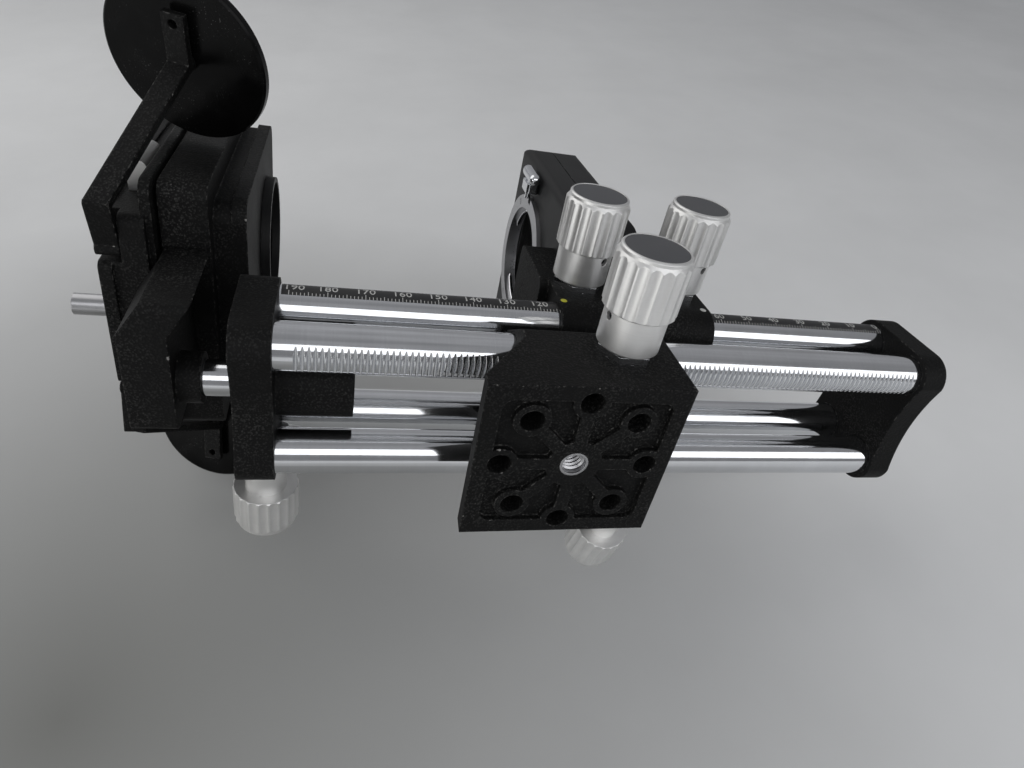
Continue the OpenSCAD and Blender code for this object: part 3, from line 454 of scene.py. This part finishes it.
def satin_paint(look):
    """Smooth satin black paint with a faint grain."""
    made, tree, shader = new_material("satin_paint")
    wear = group_node(tree, "edge_wear", Radius=0.3 * MM, Patch=500.0)
    grain = group_node(tree, "pebble", Scale=2200.0, Depth=0.02 * MM, Normal=wear.outputs["Normal"])
    marks = group_node(tree, "smudge", Size=50.0)
    worn = math_node(tree, "MULTIPLY", wear.outputs["Mask"], 0.45)
    film = math_node(tree, "MULTIPLY", marks.outputs["Film"], 0.25)
    coat = mix_colour(tree, film, look.satin, look.paint_top)
    tree.links.new(mix_colour(tree, worn, coat, look.bare), shader.inputs["Base Color"])
    tree.links.new(spread(tree, marks.outputs["Film"], 0.0, 1.0, 0.44, 0.56), shader.inputs["Roughness"])
    shader.inputs["Specular IOR Level"].default_value = 0.25
    tree.links.new(grain.outputs["Normal"], shader.inputs["Normal"])
    return made


def turned_metal(name, colour, dull, bright, stretch, depth, radius, metal):
    """Metal with turning marks, dull film and softened edges."""
    made, tree, shader = new_material(name)
    wear = group_node(tree, "edge_wear", Radius=radius, Patch=300.0)
    lines = group_node(tree, "fine_lines", Stretch=stretch, Depth=depth, Normal=wear.outputs["Normal"])
    marks = group_node(tree, "smudge", Size=70.0)
    line_half = math_node(tree, "MULTIPLY", lines.outputs["Value"], 0.5)
    film_half = math_node(tree, "MULTIPLY", marks.outputs["Film"], 0.5)
    shade = math_node(tree, "ADD", line_half, film_half)
    darker = tuple(0.82 * part for part in colour)
    tree.links.new(mix_colour(tree, shade, darker, colour), shader.inputs["Base Color"])
    tree.links.new(spread(tree, shade, 0.15, 0.85, bright, dull), shader.inputs["Roughness"])
    tree.links.new(lines.outputs["Normal"], shader.inputs["Normal"])
    shader.inputs["Metallic"].default_value = metal
    return made


def ringed_finish(name, colour, lighter, turns, depth, rough_low, rough_high, shine):
    """Dark finish turned in fine rings, for the knob caps and the tray discs."""
    made, tree, shader = new_material(name)
    wear = group_node(tree, "edge_wear", Radius=0.25 * MM, Patch=400.0)
    marks = group_node(tree, "smudge", Size=90.0)
    rings = group_node(tree, "rings", Turns=turns, Depth=depth, Normal=wear.outputs["Normal"])
    film = math_node(tree, "MULTIPLY", marks.outputs["Film"], 0.6)
    coat = mix_colour(tree, film, colour, lighter)
    dust = math_node(tree, "MULTIPLY", marks.outputs["Dust"], 0.3)
    tree.links.new(mix_colour(tree, dust, coat, DUST_COLOUR), shader.inputs["Base Color"])
    dull = spread(tree, marks.outputs["Film"], 0.0, 1.0, rough_low, rough_high)
    tree.links.new(dull, shader.inputs["Roughness"])
    shader.inputs["Specular IOR Level"].default_value = shine
    tree.links.new(rings.outputs["Normal"], shader.inputs["Normal"])
    return made


def leathercloth(look):
    """Matt black bellows cloth with a fine grain and paler rubbed folds."""
    made, tree, shader = new_material("bellows_leathercloth")
    grain = group_node(tree, "pebble", Scale=2600.0, Depth=0.03 * MM)
    true_normal = add_node(tree, "ShaderNodeNewGeometry")
    tree.links.new(true_normal.outputs["Normal"], grain.inputs["Normal"])
    marks = group_node(tree, "smudge", Size=80.0)
    coat = mix_colour(tree, marks.outputs["Film"], look.satin, look.paint_top)
    tree.links.new(coat, shader.inputs["Base Color"])
    tree.links.new(spread(tree, grain.outputs["Height"], 0.4, 0.9, 0.75, 0.6), shader.inputs["Roughness"])
    tree.links.new(grain.outputs["Normal"], shader.inputs["Normal"])
    shader.inputs["Sheen Weight"].default_value = 0.15
    return made


def opal_sheet():
    """Milky diffuser sheet."""
    made, tree, shader = new_material("opal_sheet")
    wear = group_node(tree, "edge_wear", Radius=0.3 * MM, Patch=300.0)
    marks = group_node(tree, "smudge", Size=60.0)
    milky = mix_colour(tree, marks.outputs["Film"], (0.82, 0.82, 0.80), (0.74, 0.73, 0.70))
    tree.links.new(milky, shader.inputs["Base Color"])
    tree.links.new(spread(tree, marks.outputs["Film"], 0.0, 1.0, 0.3, 0.45), shader.inputs["Roughness"])
    tree.links.new(wear.outputs["Normal"], shader.inputs["Normal"])
    shader.inputs["Subsurface Weight"].default_value = 0.6
    shader.inputs["Subsurface Radius"].default_value = (1.5 * MM, 1.5 * MM, 1.4 * MM)
    return made


def filled_mark(name, colour, dirt):
    """Enamel of a filled mark, slightly soiled."""
    made, tree, shader = new_material(name)
    marks = group_node(tree, "smudge", Size=160.0)
    soil = math_node(tree, "MULTIPLY", marks.outputs["Film"], 0.5)
    tree.links.new(mix_colour(tree, soil, colour, dirt), shader.inputs["Base Color"])
    tree.links.new(spread(tree, marks.outputs["Film"], 0.0, 1.0, 0.4, 0.6), shader.inputs["Roughness"])
    return made


class MACRO_OT_finishes(bpy.types.Operator):
    """Makes the finishes and puts them on the solids."""

    bl_idname = "macro.finishes"
    bl_label = "Finishes"

    def execute(self, context):
        look = context.scene.macro_finishes
        edge_wear_group()
        pebble_group()
        fine_lines_group()
        rings_group()
        smudge_group()
        finishes = {
            "wrinkle_black": wrinkle_paint(look),
            "satin_black": satin_paint(look),
            "scale_black": filled_mark("scale_enamel", (0.012, 0.012, 0.013), (0.03, 0.03, 0.03)),
            "bellows_cloth": leathercloth(look),
            "opal": opal_sheet(),
        }
        for name, (colour, dull, bright, stretch, depth, radius, metal) in METALS.items():
            tone = tuple(getattr(look, colour))
            finishes[name] = turned_metal(name, tone, dull, bright, stretch, depth * MM, radius * MM, metal)
        finishes["cap_grey"] = ringed_finish(
            "cap_grey", tuple(look.cap), (0.12, 0.12, 0.125), 190.0, 0.004 * MM, 0.38, 0.5, 0.3
        )
        finishes["disc_black"] = ringed_finish(
            "disc_black", (0.002, 0.002, 0.002), (0.006, 0.006, 0.006), 260.0, 0.003 * MM, 0.14, 0.28, 0.1
        )
        filled_mark("white_enamel", tuple(look.white), (0.36, 0.355, 0.34))
        filled_mark("yellow_enamel", tuple(look.yellow), (0.33, 0.32, 0.03))
        for part in frame["record"]["subparts"]:
            node = part["node"]
            solid = bpy.data.objects[node]
            finish = OWN_FINISH.get(node, part["material_slot"])
            solid.data.materials.clear()
            solid.data.materials.append(finishes[finish])
        return {"FINISHED"}


def new_piece(name, shape, finish, body):
    """Turns a bmesh in millimetres into a piece that rides on a body."""
    bmesh.ops.recalc_face_normals(shape, faces=shape.faces)
    mesh = bpy.data.meshes.new(name)
    shape.to_mesh(mesh)
    shape.free()
    mesh.transform(Matrix.Scale(MM, 4))
    mesh.shade_smooth()
    mesh.set_sharp_from_angle(angle=SHARP_ANGLE)
    mesh.materials.append(bpy.data.materials[finish])
    piece = bpy.data.objects.new(name, mesh)
    bpy.context.scene.collection.objects.link(piece)
    if body:
        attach(piece, body)
    return piece


def close_loop(shape, rings):
    """Joins closed rows of vertices into faces, each row with the next."""
    for first, second in zip(rings, rings[1:]):
        count = len(first)
        for i in range(count):
            j = (i + 1) % count
            shape.faces.new((first[i], first[j], second[j], second[i]))


def lathe(shape, profile, origin, axis, steps, close=True):
    """A turned form: profile rows are (distance along axis, radius)."""
    axis = Vector(axis).normalized()
    side = axis.orthogonal().normalized()
    other = axis.cross(side)
    origin = Vector(origin)
    rings = []
    for along, radius in profile:
        row = []
        for i in range(steps):
            turn = 2.0 * math.pi * i / steps
            spot = origin + axis * along + (side * math.cos(turn) + other * math.sin(turn)) * radius
            row.append(shape.verts.new(spot))
        rings.append(row)
    close_loop(shape, rings)
    if close:
        shape.faces.new(rings[0])
        shape.faces.new(rings[-1])
    return rings


def sleeve_outline(half_y, half_z, corner, straight=6, bend=7):
    """A rectangle with round corners as points about the optical axis."""
    points = []
    for quarter in range(4):
        turn = quarter * math.pi / 2.0
        sign_y = 1.0 if quarter in (0, 3) else -1.0
        sign_z = 1.0 if quarter in (0, 1) else -1.0
        middle = (sign_y * (half_y - corner), sign_z * (half_z - corner))
        for i in range(bend):
            angle = turn + (math.pi / 2.0) * i / (bend - 1)
            points.append((middle[0] + corner * math.cos(angle), middle[1] + corner * math.sin(angle)))
    full = []
    for i, point in enumerate(points):
        full.append(point)
        if (i + 1) % bend == 0:
            after = points[(i + 1) % len(points)]
            for k in range(1, straight):
                share = k / straight
                y = point[0] + (after[0] - point[0]) * share
                z = point[1] + (after[1] - point[1]) * share
                full.append((y, z))
    return full


# One fold from valley to valley: share of its length, and rise as a share of its depth
FOLD_STEPS = (
    (0.0, 0.0), (0.06, 0.04), (0.25, 0.5), (0.44, 0.96), (0.5, 1.0), (0.56, 0.96), (0.75, 0.5), (0.94, 0.04)
)
CREST_CORNER = 2.5
VALLEY_MORE = 3.0


class MACRO_OT_bellows(bpy.types.Operator):
    """Makes the pleated sleeve between the two standards."""

    bl_idname = "macro.bellows"
    bl_label = "Bellows"

    def execute(self, context):
        sizes = context.scene.macro_bellows
        low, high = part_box("bellows")
        x0 = low[0] / MM
        x1 = high[0] / MM
        half_y = (high[1] - low[1]) / MM / 2.0
        half_z = (high[2] - low[2]) / MM / 2.0
        middle_y = (high[1] + low[1]) / MM / 2.0
        middle_z = (high[2] + low[2]) / MM / 2.0
        depth = sizes.depth / MM
        sheet = sizes.sheet / MM
        stations = []
        for fold in range(sizes.folds):
            for share, rise in FOLD_STEPS:
                stations.append(((fold + share) / sizes.folds, rise))
        stations.append((1.0, 0.0))
        shape = bmesh.new()
        skins = []
        for inset in (0.0, sheet):
            rings = []
            for share, rise in stations:
                drop = depth * (1.0 - rise) + inset
                corner = CREST_CORNER + VALLEY_MORE * (1.0 - rise)
                row = []
                for y, z in sleeve_outline(half_y - drop, half_z - drop, corner):
                    row.append(shape.verts.new((x0 + (x1 - x0) * share, middle_y + y, middle_z + z)))
                rings.append(row)
            close_loop(shape, rings)
            skins.append(rings)
        for end in (0, -1):
            close_loop(shape, [skins[0][end], skins[1][end]])
        piece = new_piece("bellows_sleeve", shape, "bellows_leathercloth", None)
        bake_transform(piece)
        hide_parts("bellows")
        return {"FINISHED"}


def on_scale(x, rise, lift):
    """A point of the scale strip: x along the rod, rise up the curve from its middle, lift off the rod."""
    turn = SCALE_FACING - rise / ROD_R
    radius = ROD_R + lift
    return (x, SCALE_Y + radius * math.cos(turn), SCALE_Z + radius * math.sin(turn))


# Half the thickness of a number, how far it is sunk, and the bands that it is cut into
DIGIT_HALF = 0.02
DIGIT_SINK = 0.005
DIGIT_BANDS = 9
BAND_SHARE = 0.1


def digit_shape(words, size):
    """A number as a thin bmesh about its middle, cut into bands so that it can follow the rod's curve."""
    curve = bpy.data.curves.new("digits", "FONT")
    curve.body = words
    curve.size = size
    curve.align_x = "CENTER"
    curve.extrude = DIGIT_HALF
    curve.resolution_u = 3
    holder = bpy.data.objects.new("digits", curve)
    bpy.context.scene.collection.objects.link(holder)
    seen = holder.evaluated_get(bpy.context.evaluated_depsgraph_get())
    mesh = bpy.data.meshes.new_from_object(seen)
    bpy.data.objects.remove(holder)
    bpy.data.curves.remove(curve)
    shape = bmesh.new()
    shape.from_mesh(mesh)
    bpy.data.meshes.remove(mesh)
    bmesh.ops.triangulate(shape, faces=shape.faces)
    for part in range(1, DIGIT_BANDS):
        everything = shape.verts[:] + shape.edges[:] + shape.faces[:]
        height = (0.0, size * BAND_SHARE * part, 0.0)
        bmesh.ops.bisect_plane(shape, geom=everything, plane_co=height, plane_no=(0.0, 1.0, 0.0))
    return shape


class MACRO_OT_scale(bpy.types.Operator):
    """Makes the filled ticks and numbers of the millimetre scale."""

    bl_idname = "macro.scale"
    bl_label = "Scale marks"

    def execute(self, context):
        sizes = context.scene.macro_scale
        line = sizes.line / MM / 2.0
        foot = -2.75
        base = -0.75
        low_lift = -0.03
        high_lift = 0.015
        section = ((-line, low_lift), (-line, high_lift), (line, high_lift), (line, low_lift))
        shape = bmesh.new()
        for reading in range(sizes.length + 1):
            tick = sizes.long if reading % 10 == 0 else sizes.middle if reading % 5 == 0 else sizes.short
            rows = []
            for part in range(4):
                rise = foot + tick / MM * part / 3.0
                row = []
                for side, lift in section:
                    row.append(shape.verts.new(on_scale(SCALE_ZERO_X - reading + side, rise, lift)))
                rows.append(row)
            close_loop(shape, rows)
            shape.faces.new(rows[0])
            shape.faces.new(rows[-1])
        for reading in range(0, sizes.length + 1, 10):
            digits = digit_shape(str(reading), sizes.digit / MM)
            shift = SCALE_ZERO_X - reading + (LAST_NUMBER_IN if reading == sizes.length else 0.0)
            verts = {}
            for v in digits.verts:
                verts[v] = shape.verts.new(on_scale(shift + v.co.x, base + v.co.y, v.co.z - DIGIT_SINK))
            for face in digits.faces:
                shape.faces.new([verts[v] for v in face.verts])
            digits.free()
        new_piece("scale_marks", shape, "white_enamel", "rail")
        return {"FINISHED"}


def set_screw(shape, origin, axis, radius, low, high):
    """A grub screw with a chamfered rim and a hexagon socket."""
    socket_r = radius * 0.55
    floor = high - radius * 0.9
    chamfer_up = 0.25
    chamfer_in = 0.2
    steps = 24
    profile = [(low, radius), (high - chamfer_up, radius), (high, radius - chamfer_in)]
    rings = lathe(shape, profile, origin, axis, steps, close=False)
    shape.faces.new(rings[0])
    axis = Vector(axis).normalized()
    side = axis.orthogonal().normalized()
    other = axis.cross(side)
    rim = []
    base = []
    for i in range(steps):
        turn = 2.0 * math.pi * i / steps
        corner = math.cos(math.pi / 6.0) / math.cos((turn % (math.pi / 3.0)) - math.pi / 6.0)
        out = (side * math.cos(turn) + other * math.sin(turn)) * socket_r * corner
        rim.append(shape.verts.new(Vector(origin) + axis * high + out))
        base.append(shape.verts.new(Vector(origin) + axis * floor + out))
    close_loop(shape, [rings[-1], rim, base])
    shape.faces.new(base)


class MACRO_OT_fasteners(bpy.types.Operator):
    """Makes the grub screws of the drive knobs and the thread of the tripod bush."""

    bl_idname = "macro.fasteners"
    bl_label = "Small fasteners"

    def execute(self, context):
        for body, (x, y, z, turn) in DRIVES.items():
            shape = bmesh.new()
            lean = math.radians(turn)
            way = (math.sin(lean), 0.0, -math.cos(lean))
            set_screw(shape, (x, y - GRUB_UP, z), way, GRUB_R, *GRUB_ENDS)
            new_piece(body + "_grub_screw", shape, "dark_steel", body)
        shape = bmesh.new()
        low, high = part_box("tripod_bush")
        pitch = 1.27
        root = 3.2
        crest = 3.18
        ridge = 0.5
        root_half = 0.5
        crest_half = 0.08
        lead_in = 0.7
        steps = 28
        turns = int((high[2] - low[2]) / MM / pitch) - 1
        rows = []
        for i in range(turns * steps + 1):
            turn = 2.0 * math.pi * i / steps
            rise = low[2] / MM + lead_in + pitch * i / steps
            fade = min(1.0, i / steps, (turns * steps - i) / steps)
            row = []
            top = crest - ridge * fade
            section = ((root, -root_half), (top, -crest_half), (top, crest_half), (root, root_half))
            for radius, lift in section:
                row.append(shape.verts.new((radius * math.cos(turn), radius * math.sin(turn), rise + lift)))
            rows.append(row)
        close_loop(shape, rows)
        shape.faces.new(rows[0])
        shape.faces.new(rows[-1])
        new_piece("tripod_thread", shape, "plain_steel", "foot")
        return {"FINISHED"}


class MACRO_OT_index_dots(bpy.types.Operator):
    """Makes the two filled dots that read against the scale."""

    bl_idname = "macro.index_dots"
    bl_label = "Index dots"

    def execute(self, context):
        for name, (x, z, finish, body) in INDEX_DOTS.items():
            shape = bmesh.new()
            crown = [(-0.2, 1.0), (0.02, 1.0), (0.09, 0.85), (0.12, 0.5), (0.13, 0.15)]
            lathe(shape, crown, (x, CARRIAGE_FACE, z), (0.0, -1.0, 0.0), 28)
            new_piece(name, shape, finish, body)
        return {"FINISHED"}


def ring_sector(shape, x0, x1, inner, outer, start, end, steps=14):
    """A piece of a ring about the optical axis, with its corners taken off."""
    end_lead = 0.35
    chamfer = 0.25
    rows = []
    for i in range(steps + 1):
        turn = math.radians(start + (end - start) * i / steps)
        lead = end_lead if i in (0, steps) else 0.0
        near = x0 + lead
        far = x1 - lead
        section = ((near, outer), (near, inner + chamfer), (near + chamfer, inner),
                   (far - chamfer, inner), (far, inner + chamfer), (far, outer))
        row = []
        for x, radius in section:
            row.append(shape.verts.new((x, radius * math.cos(turn), AXIS_Z + radius * math.sin(turn))))
        rows.append(row)
    close_loop(shape, rows)
    shape.faces.new(rows[0])
    shape.faces.new(rows[-1])


def slotted_head(shape, origin, axis, radius, height):
    """A low cheese head with a domed rim and a straight slot."""
    axis = Vector(axis).normalized()
    side = axis.orthogonal().normalized()
    other = axis.cross(side)
    origin = Vector(origin)
    slot = radius * 0.16
    top_r = radius * 0.86
    start = math.asin(slot / radius)
    steps = 18
    for sign in (-1.0, 1.0):
        rim = []
        top = []
        foot = []
        for i in range(steps + 1):
            turn = start + (math.pi - 2.0 * start) * i / steps
            out = side * math.cos(turn) * radius + other * math.sin(turn) * radius * sign
            inner = side * math.cos(turn) * top_r
            inner += other * max(math.sin(turn) * top_r, slot) * sign
            foot.append(shape.verts.new(origin + out))
            rim.append(shape.verts.new(origin + out + axis * height * 0.6))
            top.append(shape.verts.new(origin + inner + axis * height))
        close_loop(shape, [foot, rim, top])
        shape.faces.new(top)
        shape.faces.new(foot)
    along = side * radius * 0.98
    across = other * slot * 1.05
    bed = [origin + along * a + across * b for a, b in SQUARE]
    low = [shape.verts.new(spot) for spot in bed]
    high = [shape.verts.new(spot + axis * height * 0.45) for spot in bed]
    close_loop(shape, [low, high])
    shape.faces.new(low)
    shape.faces.new(high)


class MACRO_OT_mounts(bpy.types.Operator):
    """Makes the bayonet lugs and the screws of the lens and camera mounts."""

    bl_idname = "macro.mounts"
    bl_label = "Mount details"

    def execute(self, context):
        for name, (body, ends, radii, face, way, circle, turns, head) in MOUNTS.items():
            shape = bmesh.new()
            for middle in LUG_MIDDLES:
                ring_sector(shape, *ends, *radii, middle - LUG_HALF, middle + LUG_HALF)
            new_piece(name + "_lugs", shape, "bright_chrome", body)
            shape = bmesh.new()
            for turn in turns:
                angle = math.radians(turn)
                x = face - way * HEAD_SINK
                spot = (x, circle * math.cos(angle), AXIS_Z + circle * math.sin(angle))
                slotted_head(shape, spot, (way, 0.0, 0.0), head, HEAD_HEIGHT)
            new_piece(name + "_screws", shape, "plain_steel", body)
        x, bore, turn = RING_SCREW
        inward = Vector((0.0, -math.sin(math.radians(turn)), -math.cos(math.radians(turn))))
        shape = bmesh.new()
        spot = Vector((x, 0.0, AXIS_Z)) - inward * (bore + RING_HEAD_SINK)
        slotted_head(shape, spot, inward, RING_HEAD_R, RING_HEAD_HEIGHT)
        new_piece("copier_ring_screw", shape, "bright_chrome", "copier")
        return {"FINISHED"}


class MACRO_OT_stage(bpy.types.Operator):
    """Sets up the camera, the floor, the table behind and the light."""

    bl_idname = "macro.stage"
    bl_label = "Studio"

    def execute(self, context):
        studio = context.scene.macro_studio
        add_camera()
        add_floor(studio)
        add_table(studio)
        add_lights(studio)
        context.scene.view_settings.view_transform = "Standard"
        return {"FINISHED"}


def add_camera():
    """Camera at the place and angle of the photograph."""
    lens = bpy.data.cameras.new("camera")
    lens.sensor_width = 36.0
    lens.lens = 23.53
    lens.clip_start = 0.005
    lens.clip_end = 20.0
    camera = bpy.data.objects.new("camera", lens)
    turn = Matrix((CAMERA_RIGHT, CAMERA_UP, -CAMERA_AHEAD)).transposed().to_4x4()
    camera.matrix_world = Matrix.Translation(CAMERA_PLACE) @ turn
    bpy.context.scene.collection.objects.link(camera)
    bpy.context.scene.camera = camera


def one_sided(name, colour, variation, darker=None):
    """Matt surface seen from its front only. It can carry a painted shadow, darkest around one point."""
    made = bpy.data.materials.new(name)
    made.use_nodes = True
    tree = made.node_tree
    tree.nodes.clear()
    out = add_node(tree, "ShaderNodeOutputMaterial")
    shader = add_node(tree, "ShaderNodeBsdfPrincipled")
    clear = add_node(tree, "ShaderNodeBsdfTransparent")
    choose = add_node(tree, "ShaderNodeMixShader")
    sides = add_node(tree, "ShaderNodeNewGeometry")
    coords = add_node(tree, "ShaderNodeTexCoord").outputs["Object"]
    cloud = spread(tree, noise(tree, coords, 9.0, 4.0, 0.6), 0.3, 0.7)
    paler = tuple(min(1.0, part * variation) for part in colour)
    surface = mix_colour(tree, cloud, colour, paler)
    # Painted shadow: the colour darkens towards one point and fades out over the reach
    if darker:
        middle, reach, tint = darker
        apart = add_node(tree, "ShaderNodeVectorMath", operation="DISTANCE")
        tree.links.new(coords, apart.inputs[0])
        apart.inputs[1].default_value = middle
        share = spread(tree, apart.outputs["Value"], 0.0, reach, 1.0, 0.0)
        painted_shadow_colour = tuple(part * level for part, level in zip(colour, tint))
        surface = mix_colour(tree, share, surface, painted_shadow_colour)
    tree.links.new(surface, shader.inputs["Base Color"])
    shader.inputs["Roughness"].default_value = 0.8
    shader.inputs["Specular IOR Level"].default_value = 0.2
    tree.links.new(sides.outputs["Backfacing"], choose.inputs["Fac"])
    tree.links.new(shader.outputs["BSDF"], choose.inputs[1])
    tree.links.new(clear.outputs["BSDF"], choose.inputs[2])
    tree.links.new(choose.outputs["Shader"], out.inputs["Surface"])
    return made


def add_sheet(name, middle, normal, half, finish):
    """A large square sheet that faces along normal."""
    normal = normal.normalized()
    side = normal.orthogonal().normalized()
    other = normal.cross(side)
    mesh = bpy.data.meshes.new(name)
    corners = [middle + side * a * half + other * b * half for a, b in SQUARE]
    mesh.from_pydata([tuple(c) for c in corners], [], [(0, 1, 2, 3)])
    mesh.materials.append(finish)
    sheet = bpy.data.objects.new(name, mesh)
    bpy.context.scene.collection.objects.link(sheet)
    return sheet


def add_floor(studio):
    """Pale floor under the foot. Only a camera above it sees it."""
    floor = add_sheet("floor", Vector((0.0, 0.0, -0.3 * MM)), Vector((0.0, 0.0, 1.0)), 4.0,
                      one_sided("floor", tuple(studio.floor), 1.05))
    floor.visible_diffuse = False
    floor.visible_glossy = False
    floor.visible_shadow = False


def add_table(studio):
    """Grey table behind the object, which leans on it in the photograph."""
    # The table's colour carries a painted shadow around one point
    table = add_sheet("table", TABLE_POINT, -TABLE_AWAY, 3.0,
                      one_sided("table", tuple(studio.table), 1.08, (PAINTED_SHADOW_POINT, PAINTED_SHADOW_REACH, PAINTED_SHADOW_TINT)))
    table.visible_shadow = False
    table.visible_diffuse = False


def add_area(name, place, aim, wide, tall, power, tint):
    """An area light that points at a place, with its width along the rail."""
    light = bpy.data.lights.new(name, "AREA")
    light.shape = "RECTANGLE"
    light.size = wide
    light.size_y = tall
    light.energy = power
    light.color = tint
    ahead = (aim - place).normalized()
    side = (Vector((1.0, 0.0, 0.0)) - ahead * ahead.x).normalized()
    lamp = bpy.data.objects.new(name, light)
    turn = Matrix((side, side.cross(ahead), -ahead)).transposed().to_4x4()
    lamp.matrix_world = Matrix.Translation(place) @ turn
    bpy.context.scene.collection.objects.link(lamp)


def add_room(strength):
    """Even room light that is paler towards the window and darker on the far side."""
    world = bpy.data.worlds.new("room")
    world.use_nodes = True
    tree = world.node_tree
    backdrop = tree.nodes["Background"]
    towards = add_node(tree, "ShaderNodeVectorMath", operation="DOT_PRODUCT")
    coords = add_node(tree, "ShaderNodeTexCoord").outputs["Generated"]
    tree.links.new(coords, towards.inputs[0])
    towards.inputs[1].default_value = WINDOW
    share = spread(tree, towards.outputs["Value"], -0.8, 0.95, 0.5, 1.0)
    uneven = spread(tree, noise(tree, coords, 2.2, 2.0, 0.5), 0.35, 0.65, 0.7, 1.0)
    level = math_node(tree, "MULTIPLY", share, uneven)
    tree.links.new(mix_colour(tree, level, ROOM_DARK, ROOM_PALE), backdrop.inputs["Color"])
    backdrop.inputs["Strength"].default_value = strength
    bpy.context.scene.world = world


def add_lights(studio):
    """Window light over the table, the bright sides of the room, two weak fills and the room itself."""
    # Name, place, width and height in metres, power, tint
    lamps = (
        ("window", MIDDLE + WINDOW * 0.85, 0.9, 0.9, studio.key, (1.0, 0.99, 0.97)),
        ("bright_side", MIDDLE + BRIGHT_SIDE * 0.9, 1.6, 0.45, studio.behind, (0.97, 0.98, 1.0)),
        ("side", MIDDLE + SIDE * 0.8, 0.5, 0.5, studio.side, (1.0, 1.0, 0.98)),
        ("fill_top", Vector((0.1, 0.35, 1.0)), 0.7, 0.7, studio.fill, (1.0, 1.0, 1.0)),
        ("fill_back", Vector((-0.5, 0.8, 0.35)), 0.6, 0.6, studio.fill, (1.0, 1.0, 1.0)),
    )
    for name, place, wide, tall, power, tint in lamps:
        add_area(name, place, MIDDLE, wide, tall, power, tint)
    add_room(studio.sky)


STEPS = (
    MACRO_OT_stage,
    MACRO_OT_finishes,
    MACRO_OT_bellows,
    MACRO_OT_scale,
    MACRO_OT_fasteners,
    MACRO_OT_index_dots,
    MACRO_OT_mounts,
)


class MACRO_PT_panel(bpy.types.Panel):
    """Lists the makers of the pieces."""

    bl_idname = "MACRO_PT_panel"
    bl_label = "Macro bellows"
    bl_space_type = "VIEW_3D"
    bl_region_type = "UI"
    bl_category = "Bellows"

    def draw(self, context):
        for step in STEPS:
            self.layout.operator(step.bl_idname)


GROUPS = {
    "macro_bellows": BellowsSizes,
    "macro_scale": ScaleSizes,
    "macro_finishes": Finishes,
    "macro_studio": Studio,
}


def register():
    """Registers the classes and their settings."""
    for name, group in GROUPS.items():
        bpy.utils.register_class(group)
        setattr(bpy.types.Scene, name, PointerProperty(type=group))
    for step in (*STEPS, MACRO_PT_panel):
        bpy.utils.register_class(step)


def unregister():
    """Takes the classes and their settings away again."""
    for step in reversed((*STEPS, MACRO_PT_panel)):
        bpy.utils.unregister_class(step)
    for name, group in reversed(GROUPS.items()):
        delattr(bpy.types.Scene, name)
        bpy.utils.unregister_class(group)


def main():
    """Makes everything in order."""
    register()
    for step in STEPS:
        family, name = step.bl_idname.split(".")
        getattr(getattr(bpy.ops, family), name)()


if __name__ == "__main__":
    main()
